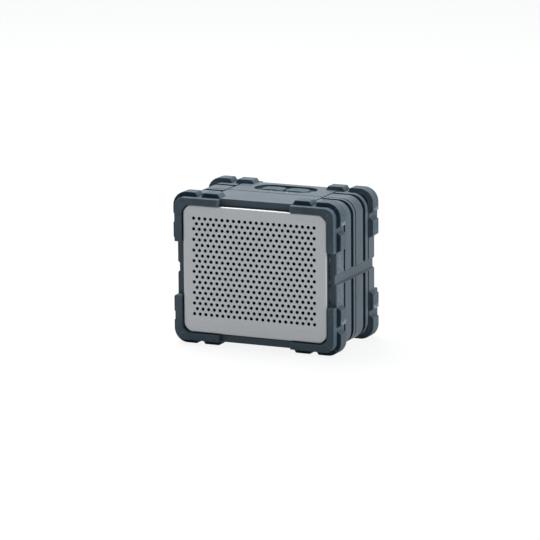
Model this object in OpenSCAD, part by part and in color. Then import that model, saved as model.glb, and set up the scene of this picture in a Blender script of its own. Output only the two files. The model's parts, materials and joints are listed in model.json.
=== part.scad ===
// Rugged tabletop speaker: a two-part case with corner guards, a perforated grille,
// two drivers on a baffle, a battery, a main board and two keys on the top.
// Millimetres. X runs to the right, Y to the rear and Z up. The origin lies under
// the middle of the case, on the surface that the guards stand on.

/* [Case] */
// Width of the case between its side faces
case_w = 138.8; // [134:0.1:180]
// Height of the case between its top and bottom faces
case_h = 116; // [112:0.1:150]
// Depth of the case from the front rim to the rear rim
case_d = 76.2; // [74:0.1:110]
// Corner radius of the case
case_r = 8; // [7:0.1:12]
// Thickness of the case wall
wall = 4.4; // [4:0.1:6]
// Height of the bands and the centre panels above the rims
band_rise = 0.5; // [0.2:0.1:1]
// Distance of the parting seam ahead of mid depth
seam_ahead = 1.2; // [0:0.1:3]
// Width of the parting line
seam_w = 1; // [0.6:0.1:1.6]
// Depth of the parting line
seam_depth = 0.7; // [0.3:0.1:1]
// Half width of the flat centre panel on the top and the bottom
panel_half = 42.5; // [36:0.1:48]
// Width of the line along each side of a centre panel
panel_line_w = 1.2; // [0.6:0.1:2]
// Depth of the line along each side of a centre panel
panel_line_depth = 0.8; // [0.4:0.1:1.5]

/* [Grooves] */
// Plain zone between the front rim and the first groove
front_zone = 14.1; // [13:0.1:18]
// Plain zone between the last groove and the rear rim
rear_zone = 12; // [11.6:0.1:18]
// Width of the two thin grooves
thin_w = 2.6; // [1.5:0.1:4]
// Depth of the two thin grooves
thin_depth = 1.2; // [0.6:0.1:2]
// Width of the band behind the first thin groove
front_band = 11; // [6:0.1:14]
// Width of the band ahead of the last thin groove
rear_band = 5; // [3:0.1:10]
// Width of the two wide grooves
wide_w = 4.9; // [3:0.1:7]
// Depth of the two wide grooves
wide_depth = 2.2; // [1:0.1:2.4]
// Height of the floor of the channel along each side
channel_h = 6.5; // [4:0.1:10]
// Depth of that channel below the rims
channel_depth = 1.5; // [0.8:0.1:2]
// Run of the sloped walls of that channel
channel_slope = 1.2; // [0.5:0.1:2]
// Height of the middle of that channel above mid height
channel_rise = 0.1; // [0:0.1:3]

/* [Corner guards] */
// Height of the bumper blocks above the case
block_h = 3.7; // [2:0.1:6]
// Depth of the bumper blocks from the rim
block_d = 11; // [8:0.1:11.2]
// Length of the corner block along the top and the bottom
top_corner_len = 18.4; // [14:0.1:20]
// Length of the corner block along the sides
side_corner_len = 16.7; // [14:0.1:20]
// Width of the notch between the blocks
notch_w = 2.7; // [2:0.1:5]
// Length of the second block along the top and the bottom
top_block_len = 16.9; // [10:0.1:19]
// Length of the second block along the sides
side_block_len = 16.7; // [10:0.1:18]
// Run of the sloped block ends
block_slope = 2.4; // [1:0.1:3]
// Reach of the lips ahead of the rims
lip_reach = 6.2; // [5:0.1:8]
// Width of the lips
lip_w = 5.6; // [4:0.1:5.9]
// Inner corner radius of the lips
lip_r = 5.5; // [3:0.1:6]
// Thickness of the skin that holds a guard in the case
skin_t = 2; // [1.5:0.1:2.2]
// Gap between a guard and its pocket
guard_gap = 0.1; // [0.05:0.05:0.2]

/* [Grille] */
// Distance from the case side to the edge of the grille
rim_side = 6.8; // [6.1:0.1:8]
// Distance from the case top to the edge of the grille
rim_top = 6; // [5.8:0.1:9]
// Corner radius of the grille
grille_r = 6; // [4:0.1:8]
// Reach of the grille ahead of the front rim
grille_proud = 4.3; // [2:0.1:4.6]
// Depth of the edge of the grille inside the rim
grille_seat = 2; // [1:0.1:3]
// Thickness of the grille sheet
grille_t = 1; // [0.6:0.1:1.5]
// Gap between the grille and the rim
grille_gap = 0.5; // [0.2:0.1:0.6]
// Distance between neighbouring holes
hole_pitch = 5; // [4:0.1:8]
// Diameter of the holes
hole_d = 2.5; // [1.5:0.1:3]
// Least plain border at the left and right of the holes
hole_border_x = 10; // [7:0.1:16]
// Least plain border above and below the holes
hole_border_z = 13; // [10:0.1:16]
// Shift of the hole field to the left
hole_shift_x = 0.5; // [0:0.1:2]
// Shift of the hole field upwards
hole_shift_z = 2.6; // [0:0.1:4]
// Thickness of the cloth behind the grille
cloth_t = 0.5; // [0.3:0.1:1]

/* [Baffle and rear panel] */
// Thickness of the baffle
baffle_t = 4; // [3:0.1:6]
// Thickness of the gaskets under the baffle and the rear panel
gasket_t = 0.8; // [0.5:0.1:1.5]
// Depth of the groove for the gasket in the case seam
seam_gasket_t = 1.5; // [1:0.1:2]
// Gap between the seam gasket and the sides of its groove
seam_gasket_gap = 0.1; // [0.05:0.05:0.3]
// Width of the ledges that carry the baffle and the rear panel
ledge_w = 9.6; // [9:0.1:11]
// Thickness of the ledges
ledge_t = 3; // [2:0.1:4]
// Thickness of the rear panel
panel_t = 3; // [2.5:0.1:4]
// Reach of the rear panel behind the rear rim
panel_proud = 2.3; // [1:0.1:4]
// Width of the wall under the edge of the rear panel
panel_wall = 2.5; // [2:0.1:4]

/* [Drivers] */
// Space between a driver and the ledge beside it
driver_side_space = 2; // [1:0.1:4]
// Half of the space between the two drivers
driver_mid_space = 1.5; // [0.5:0.1:3]
// Height of the drivers above mid height
driver_rise = 3; // [0:0.1:5]
// Width of the ring round the cone that carries the surround
surround_w = 6.4; // [6:0.1:8]
// Distance of the magnet's edge inside the flange
magnet_inset = 6; // [5:0.1:8]
// Radius of the pole
pole_r = 8.6; // [7:0.1:9]
// Travel of the cone to each side
cone_travel = 1.5; // [0.5:0.1:2]

/* [Keys] */
// Distance of the key switches from the rear rim
key_from_rear = 19.9; // [19.8:0.1:24]
// Distance of the key tops and their recess behind the switches
key_set_back = 1.4; // [0:0.1:1.4]
// Length of the key recess
recess_len = 53.4; // [48:0.1:56]
// Width of the key recess
recess_w = 24; // [16:0.1:24]
// Depth of the key recess
recess_depth = 2.6; // [1.5:0.1:3]
// Length of a key
key_len = 19; // [16:0.1:20]
// Width of a key
key_w = 12; // [9:0.1:13]
// Corner radius of a key
key_r = 3; // [2:0.1:4.5]
// Crown radius of the key tops
key_crown = 60; // [40:1:120]
// Space between the two keys
key_space = 2.2; // [1.8:0.1:4]
// Gap round a key
key_gap = 0.35; // [0.3:0.05:0.5]
// Travel of a key
key_travel = 0.8; // [0.4:0.1:1]
// Distance of the indicator lights from the middle
light_x = 7; // [4:0.1:12]
// Distance of the indicator lights ahead of the key switches
light_ahead = 12.2; // [11.6:0.1:14]
// Diameter of the indicator lights
light_d = 1.6; // [1:0.1:2.5]

/* [Ports] */
// Height of the port bay above the surface
bay_z = 43; // [40:0.1:46]
// Width of the port bay
bay_w = 56; // [50:0.1:60]
// Height of the port bay
bay_h = 14; // [12:0.1:16]
// Depth of the port bay under the flap
bay_depth = 4.6; // [4.4:0.1:6]
// Thickness of the floor and the walls of the port bay
bay_wall = 2; // [1.5:0.1:3]
// Thickness of the flap
flap_t = 2.4; // [2:0.1:2.6]
// Radius of the hinge knuckle of the flap
knuckle_r = 2; // [1.8:0.1:2.4]
// Diameter of the hinge pin of the flap
pin_d = 2; // [1.5:0.1:2.4]
// Gap round the flap
flap_gap = 0.4; // [0.3:0.1:0.6]
// Distance of the sockets and the switch from the middle socket
port_step = 16; // [12:0.1:18]
// Travel of the power slider
slider_travel = 3; // [1:0.1:4]

/* [Boards and battery] */
// Width of the main board
board_w = 96; // [80:0.1:100]
// Height of the main board
board_h = 52; // [48:0.1:56]
// Thickness of the boards
board_t = 1.6; // [1:0.1:2]
// Space between the port bay and the main board
board_space = 3.8; // [3.4:0.1:5]
// Depth of the key board under the case top
key_board_drop = 6; // [5.6:0.1:8]
// Diameter of a battery cell
cell_d = 18.4; // [14:0.1:18.4]
// Length of a battery cell
cell_len = 65; // [50:0.1:70]
// Clearance round a battery cell
cell_gap = 0.1; // [0.05:0.05:0.3]

/* [Fasteners] */
// Shank diameter of the case, baffle and panel screws
screw_d = 3; // [2.5:0.1:3.5]
// Head diameter of the case, baffle and panel screws
screw_head_d = 5.4; // [4.5:0.1:5.8]
// Head height of the case, baffle and panel screws
screw_head_h = 1.8; // [1.2:0.1:1.9]
// Shank diameter of the small screws
small_d = 2; // [1.6:0.1:2.4]
// Head diameter of the small screws
small_head_d = 3.8; // [3:0.1:4.2]
// Head height of the small screws
small_head_h = 1.2; // [0.8:0.1:1.4]
// Radial gap of a screw in its hole
screw_gap = 0.05; // [0.02:0.01:0.1]

/* [Hidden] */
$fn = 64;
eps = 0.01;
mid_z = block_h + case_h / 2;
front_y = -case_d / 2;
rear_y = case_d / 2;
seam_y = -seam_ahead;
top_leg = top_corner_len + notch_w + top_block_len;
side_leg = side_corner_len + notch_w + side_block_len;
far = case_w + case_h;

// Grooves as [front edge, rear edge, depth]
thin_front = front_y + front_zone;
thin_rear = rear_y - rear_zone;
wide_front = thin_front + thin_w + front_band;
wide_rear = thin_rear - thin_w - rear_band;
band_mid = (thin_front + thin_rear) / 2;
band_len = thin_rear - thin_front;
GROOVES = [
    [thin_front, thin_front + thin_w, thin_depth],
    [wide_front, wide_front + wide_w, wide_depth],
    [wide_rear - wide_w, wide_rear, wide_depth],
    [thin_rear - thin_w, thin_rear, thin_depth]
];

// Grille and the opening that it stands in
grille_w = case_w - 2 * rim_side;
grille_h = case_h - 2 * rim_top;
open_w = grille_w + 2 * grille_gap;
open_h = grille_h + 2 * grille_gap;
open_r = grille_r + grille_gap;
grille_y = front_y - grille_proud;
row_step = hole_pitch * sqrt(3) / 2;
hole_cols = floor((grille_w - 2 * hole_border_x) / hole_pitch) + 1;
hole_rows = floor((grille_h - 2 * hole_border_z) / row_step) + 1;

// Baffle, ledges and rear panel, from the front to the rear
baffle_y = front_y + grille_seat;
baffle_back = baffle_y + baffle_t;
ledge_front = baffle_back + gasket_t;
ledge_back = ledge_front + ledge_t;
rear_ledge_front = -ledge_back;
rear_ledge_back = -ledge_front;
panel_seat = rear_ledge_back + gasket_t;
panel_face = rear_y + panel_proud;
panel_inner = panel_face - panel_t;
seat_gap = 0.25;
seat_w = open_w - 2 * seat_gap;
seat_h = open_h - 2 * seat_gap;
seat_r = open_r - seat_gap;
hole_in_ledge_w = open_w - 2 * ledge_w;
hole_in_ledge_h = open_h - 2 * ledge_w;
hole_in_ledge_r = 3;

// Places of the screws in the ledges, as [x, z from mid height]
ledge_x = (open_w - ledge_w) / 2;
ledge_z = (open_h - ledge_w) / 2;
case_screw_boss_r = 4.6;
ledge_boss_r = 3.6;
corner_step = case_screw_boss_r + ledge_boss_r;
LEDGE_SCREWS = [for (sx = [-1, 1]) each [
    [sx * ledge_x, 0],
    [sx * (ledge_x - corner_step), ledge_z],
    [sx * (ledge_x - corner_step), -ledge_z]
]];
CASE_SCREWS = [for (sx = [-1, 1], sz = [-1, 1]) [sx * ledge_x, sz * ledge_z]];
ledge_boss_len = 6;
case_screw_bite = 14;
screw_tip_room = 1;

// Drivers
flange_r = (hole_in_ledge_w / 2 - driver_side_space - driver_mid_space) / 2;
driver_x = driver_mid_space + flange_r;
driver_z = mid_z + driver_rise;
cone_r = flange_r - surround_w;
magnet_r = flange_r - magnet_inset;
basket_flange_t = 1.4;
driver_screw_bite = 2.5;
roll_r = (flange_r - cone_r - 2.7) / 2;
roll_t = 0.5;
cone_gap = 0.3;
landing_t = 0.8;
baffle_hole_r = cone_r + cone_gap + 2 * roll_r + 0.6;
basket_depth = 14;
coil_t = 1.25;
coil_gap = 0.5;
coil_r = pole_r + coil_gap + coil_t;
gap_r = coil_r + coil_gap;
cone_depth = 8.4;
coil_len = 12.4;
coil_room = 1.9;
neck_h = 9.4;
ear_r = 3.2;
ear_reach = flange_r + 2.5;

// Keys
top_z = mid_z + case_h / 2 + band_rise;
ceiling_z = mid_z + case_h / 2 - wall;
floor_z = top_z - recess_depth;
key_y = rear_y - key_from_rear;
key_top_y = key_y + key_set_back;
key_x = (key_len + key_space) / 2;
light_y = key_y - light_ahead;
key_flange_edge = 2.5;
key_flange_space = 0.6;
key_gasket_rim = 0.8;
key_flange_w = key_w + 2 * key_flange_edge;
key_flange_len = key_len + key_space - key_flange_space;
key_flange_t = 1.2;
key_rest_gap = 0.3;
key_stem_r = 2.6;
key_board_z = ceiling_z - key_board_drop;
key_board_edge = 2;
key_board_behind = 9.5;
key_board_front = light_y - key_board_edge;
key_board_back = key_y + key_board_behind;
key_post_r = 3;
key_post_space = 3;
key_post_x = recess_len / 2 + key_post_space + key_post_r;
key_board_half = key_post_x + key_post_r;
key_screw_bite = 3.5;
switch_w = 6;
switch_h = 1.9;
switch_button_h = 0.5;
switch_button_r = 1.7;
key_press_gap = 0.4;
key_stem_z = key_board_z + switch_h + key_press_gap + key_travel;

// Port bay and flap
flap_in = panel_face - flap_t;
bay_floor = flap_in - bay_depth;
bay_back = bay_floor - bay_wall;
hinge_y = panel_face - knuckle_r;
hinge_z = bay_z - bay_h / 2 - knuckle_r - bay_wall;
flap_top = bay_z + bay_h / 2 + bay_wall + 1;
flap_w = bay_w + 8;
housing_w = flap_w + 8;
pin_len = flap_w + 6;
running_gap = 0.06;

// Boards and battery
board_back = bay_back - board_space;
board_front = board_back - board_t;
board_z = bay_z - bay_h / 2 + board_h / 2;
standoff_r = 3;
standoff_x = board_w / 2 - 5;
standoff_z = board_h / 2 - 4;
cavity_floor = mid_z - case_h / 2 + wall;
cell_r = cell_d / 2;
cradle_r = cell_r + cell_gap;
tray_base = 2;
tray_end = 5;
tray_tab = 6;
tray_gap = 0.3;
tray_in = cell_len + 3;
tray_len = tray_in + 2 * tray_end;
tray_w = 4 * cradle_r + 0.8;
tray_back = rear_ledge_front - tray_gap;
tray_y = tray_back - tray_w / 2;
tray_screw_in = 5;
TRAY_SCREWS_Y = [seam_y + tray_screw_in, rear_ledge_front - ledge_boss_len - tray_screw_in];
tray_screw_bite = 2.8;
cover_screw_bite = 6;
cell_y = cradle_r + 0.2;
cell_z = cavity_floor + tray_base + cradle_r;
tray_top = cell_z + cradle_r + 0.2;
cover_t = 1.6;
lead_r = 1;
battery_lead_in = 6;
battery_lead_down = 16;
battery_lead_ahead = 5;
battery_lead_x = cell_len / 2 - battery_lead_in;
battery_lead_z = board_z - battery_lead_down;
speaker_lead_angle = 65;
capacitor_r = 4;
capacitor_len = 10;
capacitor_step = 10.4;
capacitor_drop = 6;
board_screw_bite = 5;
carrier_w = 18;
carrier_h = 14;
carrier_t = 0.8;
can_w = 12;
can_h = 12;
can_t = 2.2;
can_in = 1;
radio_in = 10;
radio_up = 4;
spreader_w = 16;
spreader_t = 2;
fin_t = 1.2;
fin_h = 4;
fins = 4;
spreader_in = 26;
spreader_down = 2;

// Colours, as the object shows them
case_colour = [0.32, 0.36, 0.39];
guard_colour = [0.24, 0.28, 0.31];
silver_colour = [0.68, 0.68, 0.68];
steel_colour = [0.55, 0.56, 0.58];
black_colour = [0.09, 0.09, 0.1];
board_colour = [0.1, 0.35, 0.2];
copper_colour = [0.7, 0.45, 0.25];
lead_colour = [0.6, 0.1, 0.1];

// General shapes

// Rounded rectangle in the plane, centred
module rounded(w, h, r) {
    square([w - 2 * r, h], center = true);
    square([w, h - 2 * r], center = true);
    for (sx = [-1, 1], sz = [-1, 1]) {
        translate([sx * (w / 2 - r), sz * (h / 2 - r)]) circle(r);
    }
}

// Case outline seen from the front, moved outwards by grow
module outline(grow) {
    rounded(case_w + 2 * grow, case_h + 2 * grow, case_r + grow);
}

// Solid from y0 to y1 of an outline seen from the front, around mid height
module slab(y0, y1) {
    translate([0, y1, mid_z]) rotate([90, 0, 0]) linear_extrude(y1 - y0) children();
}

// Box with its low corner and its high corner given
module box(low, high) {
    translate(low) cube(high - low);
}

// Solid of revolution about a driver axis, with depth counted from the baffle back
module turned(side) {
    translate([side * driver_x, baffle_back, driver_z]) rotate([-90, 0, 0]) rotate_extrude() children();
}

// Cylinder along Y from y0 to y1
module rod_y(x, z, r, y0, y1) {
    translate([x, y0, z]) rotate([-90, 0, 0]) cylinder(r = r, h = y1 - y0);
}

// Cylinder along X from x0 to x1
module rod_x(y, z, r, x0, x1) {
    translate([x0, y, z]) rotate([0, 90, 0]) cylinder(r = r, h = x1 - x0);
}

// Screw with the top of its head at the origin, its tip down and a cross recess
module screw(d, head_d, head_h, length) {
    slot = d / 3;
    difference() {
        union() {
            translate([0, 0, -head_h]) cylinder(d = head_d, h = head_h);
            translate([0, 0, -head_h - length]) cylinder(d = d, h = length + eps);
        }
        for (turn = [0, 90]) {
            rotate([0, 0, turn]) cube([head_d * 0.55, slot, head_h], center = true);
        }
    }
}

module case_screw_at(x, y, z, length, side) {
    translate([x, y, z]) rotate([-90 * side, 0, 0]) screw(screw_d, screw_head_d, screw_head_h, length);
}

// Case

// Bands and panels as one solid, before the halves are parted
module case_form() {
    difference() {
        union() {
            slab(front_y, rear_y) outline(0);
            slab(thin_front, thin_rear) outline(band_rise);
            slab(front_y, rear_y) square([2 * panel_half, case_h + 2 * band_rise], center = true);
        }
        for (groove = GROOVES) {
            slab(groove[0], groove[1]) difference() {
                outline(2 * band_rise + 1);
                outline(-groove[2]);
                square([2 * panel_half, case_h + 2 * block_h + 2], center = true);
                translate([0, channel_rise])
                    square([2 * case_w, channel_h + 2 * channel_slope], center = true);
            }
        }
        for (sx = [-1, 1], sz = [-1, 1]) {
            translate([sx * panel_half, band_mid, mid_z + sz * (case_h / 2 + band_rise)])
                cube([panel_line_w, band_len, 2 * panel_line_depth], center = true);
        }
        slab(seam_y - seam_w / 2, seam_y + seam_w / 2) difference() {
            outline(2 * band_rise + 1);
            outline(band_rise - seam_depth);
        }
        for (sx = [-1, 1]) side_channel(sx);
        for (sx = [-1, 1], sz = [-1, 1], sy = [-1, 1]) guard_pocket(sx, sy, sz);
    }
}

// Channel with sloped walls along the middle of one side, through both rims
module side_channel(sx) {
    x = case_w / 2;
    above = band_rise + 1;
    flare = channel_slope * (channel_depth + above) / channel_depth;
    slab(front_y - 1, rear_y + 1) translate([0, channel_rise]) mirror([sx < 0 ? 1 : 0, 0]) polygon([
        [x - channel_depth, -channel_h / 2],
        [x + above, -channel_h / 2 - flare],
        [x + above, channel_h / 2 + flare],
        [x - channel_depth, channel_h / 2]
    ]);
}

// Outline of the corner that a guard covers at the top right, with room added at the ends of its legs
module corner_area(room) {
    above = block_h + 1;
    translate([case_w / 2 - top_leg - room, case_h / 2 - side_leg - room])
        square([top_leg + room + above, side_leg + room + above]);
}

// Pocket in the case for the skin of one guard
module guard_pocket(sx, sy, sz) {
    reach = skin_t + guard_gap;
    translate([0, 0, mid_z]) mirror([sx < 0 ? 1 : 0, 0, 0]) mirror([0, sy > 0 ? 1 : 0, 0])
        mirror([0, 0, sz < 0 ? 1 : 0]) translate([0, 0, -mid_z])
            slab(front_y - 1, front_y + block_d + guard_gap) intersection() {
                difference() {
                    outline(band_rise + 1);
                    outline(-reach);
                }
                corner_area(guard_gap);
            }
}

// Wall of a half: opening at the rim, ledge and cavity, for the front half
module half_hollow(y_rim, y_ledge, y_cavity, y_seam) {
    slab(min(y_rim, y_ledge), max(y_rim, y_ledge)) rounded(open_w, open_h, open_r);
    slab(min(y_ledge, y_cavity) - eps, max(y_ledge, y_cavity) + eps)
        rounded(hole_in_ledge_w, hole_in_ledge_h, hole_in_ledge_r);
    slab(min(y_cavity, y_seam), max(y_cavity, y_seam)) outline(-wall);
}

// Corner post that carries a case screw
module case_post(place, y0, y1) {
    reach_x = case_w / 2 - wall + eps;
    reach_z = case_h / 2 - wall + eps;
    sx = sign(place[0]);
    sz = sign(place[1]);
    rod_y(place[0], mid_z + place[1], case_screw_boss_r, y0, y1);
    low_x = min(place[0], sx * reach_x);
    high_x = max(place[0], sx * reach_x);
    low_z = mid_z + min(place[1], sz * reach_z);
    high_z = mid_z + max(place[1], sz * reach_z);
    intersection() {
        box([low_x, y0, low_z], [high_x, y1, high_z]);
        slab(y0, y1) outline(-wall + eps);
    }
}

// Front half of the case with its rim, ledge and screw posts
module front_shell() {
    color(case_colour) difference() {
        union() {
            difference() {
                intersection() {
                    case_form();
                    slab(front_y - 1, seam_y) square(far, center = true);
                }
                half_hollow(front_y - 1, ledge_front, ledge_back, seam_y + 1);
            }
            for (place = CASE_SCREWS) case_post(place, ledge_back - eps, seam_y);
            for (place = LEDGE_SCREWS) {
                rod_y(place[0], mid_z + place[1], ledge_boss_r, ledge_back - eps,
                    ledge_back + ledge_boss_len);
            }
        }
        for (place = CASE_SCREWS) {
            rod_y(place[0], mid_z + place[1], screw_d / 2 + screw_gap,
                seam_y - case_screw_bite - screw_tip_room, seam_y + 1);
        }
        for (place = LEDGE_SCREWS) {
            rod_y(place[0], mid_z + place[1], screw_d / 2 + screw_gap, ledge_front - 1,
                ledge_back + ledge_boss_len - screw_tip_room / 2);
        }
    }
}

// Rear half of the case with its ledge, screw posts, key recess and key posts
module rear_shell() {
    color(case_colour) difference() {
        union() {
            difference() {
                intersection() {
                    case_form();
                    slab(seam_y, rear_y + 1) square(far, center = true);
                }
                half_hollow(rear_y + 1, rear_ledge_back, rear_ledge_front, seam_y - 1);
                slab(seam_y - 1, seam_y + seam_gasket_t) gasket_ring(seam_gasket_gap);
            }
            for (place = CASE_SCREWS) case_post(place, seam_y, rear_ledge_front + eps);
            for (place = LEDGE_SCREWS) {
                rod_y(place[0], mid_z + place[1], ledge_boss_r, rear_ledge_front - ledge_boss_len,
                    rear_ledge_front + eps);
            }
            for (sx = [-1, 1]) {
                translate([sx * key_post_x, key_y, key_board_z])
                    cylinder(r = key_post_r, h = ceiling_z - key_board_z + eps);
            }
        }
        for (place = CASE_SCREWS) {
            rod_y(place[0], mid_z + place[1], screw_d / 2 + screw_gap, seam_y - 1, rear_ledge_back + 1);
            rod_y(place[0], mid_z + place[1], screw_head_d / 2 + screw_gap, rear_ledge_back - screw_head_h,
                rear_ledge_back + 1);
        }
        for (place = LEDGE_SCREWS) {
            rod_y(place[0], mid_z + place[1], screw_d / 2 + screw_gap,
                rear_ledge_front - ledge_boss_len + screw_tip_room / 2, rear_ledge_back + 1);
        }
        key_recess();
        for (sx = [-1, 1]) {
            translate([sx * key_post_x, key_y, key_board_z - 1])
                cylinder(r = small_d / 2 + screw_gap, h = key_screw_bite + screw_tip_room + 1);
            translate([sx * light_x, light_y, ceiling_z - 1])
                cylinder(r = light_d / 2 + screw_gap, h = wall + band_rise + 2);
            tray_screw_holes(sx);
        }
    }
}

// Recess in the case top with the two key holes in its floor
module key_recess() {
    translate([0, key_top_y, floor_z]) linear_extrude(recess_depth + 1)
        rounded(recess_len, recess_w, recess_w / 2 - eps);
    for (sx = [-1, 1]) {
        translate([sx * key_x, key_top_y, ceiling_z - 1]) linear_extrude(wall + band_rise + 1)
            rounded(key_len + 2 * key_gap, key_w + 2 * key_gap, key_r + key_gap);
    }
}

// Pilot holes in the case floor for the battery tray
module tray_screw_holes(sx) {
    for (y = TRAY_SCREWS_Y) {
        translate([sx * (tray_len + tray_tab) / 2, y, cavity_floor - tray_screw_bite - screw_tip_room / 2])
            cylinder(r = small_d / 2 + screw_gap, h = wall);
    }
}

// Ring of the case gasket, with room added round it
module gasket_ring(room) {
    difference() {
        outline(-wall * 0.5 + room);
        outline(-wall * 0.78 - room);
    }
}

module case_gasket() {
    color(black_colour) slab(seam_y, seam_y + seam_gasket_t) gasket_ring(0);
}

module case_screws() {
    shank = rear_ledge_back - screw_head_h - seam_y + case_screw_bite;
    color(steel_colour) for (place = CASE_SCREWS) {
        case_screw_at(place[0], rear_ledge_back, mid_z + place[1], shank, 1);
    }
}

// Corner guards

// Outline of the second block of a leg, with the corner of the case at the origin
module second_block(end, length) {
    polygon([
        [-end, -1],
        [-end, 0],
        [-end + block_slope, block_h],
        [-end + length - block_slope, block_h],
        [-end + length, 0],
        [-end + length, -1]
    ]);
}

// Outline of the bumper blocks at the top right corner
module block_outline() {
    inner = case_r + 1;
    translate([case_w / 2, case_h / 2]) {
        second_block(top_leg, top_block_len);
        mirror([1, -1]) second_block(side_leg, side_block_len);
    }
    intersection() {
        difference() {
            outline(block_h);
            outline(-1);
        }
        translate([case_w / 2, case_h / 2]) polygon([
            [-top_corner_len, -inner],
            [-top_corner_len, 0],
            [-top_corner_len + block_slope, block_h],
            [block_h, block_h],
            [block_h, -side_corner_len + block_slope],
            [0, -side_corner_len],
            [-inner, -side_corner_len]
        ]);
    }
}

// Guard at the front top right, which the others mirror
module guard_form() {
    slab(front_y - lip_reach, front_y) intersection() {
        difference() {
            outline(0);
            rounded(case_w - 2 * lip_w, case_h - 2 * lip_w, lip_r);
        }
        corner_area(0);
    }
    slab(front_y - 1, front_y + block_d) intersection() {
        difference() {
            outline(0);
            outline(-skin_t);
        }
        corner_area(0);
    }
    slab(front_y, front_y + block_d) block_outline();
}

module guard(sx, sy, sz) {
    color(guard_colour) translate([0, 0, mid_z]) mirror([sx < 0 ? 1 : 0, 0, 0])
        mirror([0, sy > 0 ? 1 : 0, 0]) mirror([0, 0, sz < 0 ? 1 : 0]) translate([0, 0, -mid_z]) guard_form();
}

// Grille and baffle

// Places of the holes, in rows that step by half a pitch
HOLES = [for (row = [0 : hole_rows - 1], col = [0 : hole_cols - 1 - row % 2]) [
    (col - (hole_cols - 1) / 2 + (row % 2) / 2) * hole_pitch - hole_shift_x,
    (row - (hole_rows - 1) / 2) * row_step + hole_shift_z
]];

module grille() {
    color(silver_colour) {
        slab(grille_y, grille_y + grille_t) difference() {
            rounded(grille_w, grille_h, grille_r);
            for (place = HOLES) translate(place) circle(d = hole_d);
        }
        slab(grille_y + grille_t - eps, baffle_y) difference() {
            rounded(grille_w, grille_h, grille_r);
            rounded(grille_w - 2 * grille_t, grille_h - 2 * grille_t, grille_r - grille_t);
        }
    }
}

module grille_cloth() {
    inset = 2 * grille_t + 1;
    color(black_colour) slab(grille_y + grille_t, grille_y + grille_t + cloth_t)
        rounded(grille_w - inset, grille_h - inset, grille_r - grille_t);
}

module baffle() {
    color(black_colour) difference() {
        slab(baffle_y, baffle_back) rounded(seat_w, seat_h, seat_r);
        for (side = [-1, 1]) {
            rod_y(side * driver_x, driver_z, baffle_hole_r, baffle_y - 1, baffle_back + 1);
            for (place = ear_places(side)) {
                rod_y(place[0], place[1], small_d / 2 + screw_gap, baffle_back - 3, baffle_back + 1);
            }
        }
        for (place = LEDGE_SCREWS) {
            rod_y(place[0], mid_z + place[1], screw_d / 2 + screw_gap, baffle_y - 1, baffle_back + 1);
            rod_y(place[0], mid_z + place[1], screw_head_d / 2 + screw_gap, baffle_y - 1,
                baffle_y + screw_head_h);
        }
    }
}

// Flat gasket on a ledge, with holes for the ledge screws
module ledge_gasket(y0) {
    color(black_colour) slab(y0, y0 + gasket_t) difference() {
        rounded(seat_w, seat_h, seat_r);
        rounded(hole_in_ledge_w, hole_in_ledge_h, hole_in_ledge_r);
        for (place = LEDGE_SCREWS) translate(place) circle(screw_d / 2 + screw_gap);
    }
}

module baffle_gasket() {
    ledge_gasket(baffle_back);
}

module baffle_screws() {
    shank = ledge_back + ledge_boss_len - 2 * screw_tip_room - baffle_y - screw_head_h;
    color(steel_colour) for (place = LEDGE_SCREWS) {
        case_screw_at(place[0], baffle_y, mid_z + place[1], shank, -1);
    }
}

// Drivers, with side -1 on the left and 1 on the right

function ear_places(side) = [for (sx = [-1, 1], sz = [-1, 1])
    [side * driver_x + sx * ear_reach * sqrt(0.5), driver_z + sz * ear_reach * sqrt(0.5)]];

module basket(side) {
    flange_t = basket_flange_t;
    back_r = magnet_r - 0.6;
    rim = landing_t;
    window_w = 12;
    color(steel_colour) difference() {
        union() {
            turned(side) polygon([
                [flange_r - 3.6, rim],
                [flange_r, rim],
                [flange_r, rim + flange_t],
                [flange_r - 2, rim + flange_t],
                [back_r, basket_depth - 0.8],
                [back_r, basket_depth + 0.8],
                [gap_r + 0.3, basket_depth + 0.8],
                [gap_r + 0.3, basket_depth - 0.6],
                [back_r - 1.2, basket_depth - 0.6],
                [flange_r - 3.6, rim + flange_t + 0.4]
            ]);
            for (place = ear_places(side)) {
                rod_y(place[0], place[1], ear_r, baffle_back, baffle_back + rim + flange_t);
            }
        }
        for (place = ear_places(side)) {
            rod_y(place[0], place[1], small_d / 2 + screw_gap, baffle_back - 1, baffle_back + basket_depth);
        }
        rod_y(side * driver_x, driver_z, flange_r + screw_gap, baffle_back - 1, baffle_back + rim);
        for (turn = [0 : 90 : 270]) {
            translate([side * driver_x, baffle_back + rim + flange_t + 1.5, driver_z]) rotate([0, turn, 0])
                translate([back_r - 6, 0, -window_w / 2])
                    cube([flange_r, basket_depth - rim - flange_t - 3, window_w]);
        }
    }
}

module magnet(side) {
    plate = basket_depth + 0.8;
    gap_floor = neck_h + coil_len + cone_travel + coil_room;
    back = gap_floor + 3;
    color(steel_colour) turned(side) polygon([
        [0, plate - 1.2],
        [pole_r, plate - 1.2],
        [pole_r, gap_floor],
        [gap_r, gap_floor],
        [gap_r, plate],
        [magnet_r, plate],
        [magnet_r, back],
        [0, back]
    ]);
}

module voice_coil(side) {
    color(copper_colour) turned(side) translate([coil_r - coil_t, neck_h])
        square([coil_t - screw_gap, coil_len]);
}

module cone(side) {
    lip = neck_h - cone_depth;
    color(black_colour) turned(side) polygon([
        [coil_r, neck_h],
        [cone_r, lip],
        [cone_r, lip + 0.8],
        [coil_r + 0.8, neck_h + 0.2],
        [coil_r + 0.8, neck_h + 1.4],
        [coil_r, neck_h + 1.4]
    ]);
}

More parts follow.
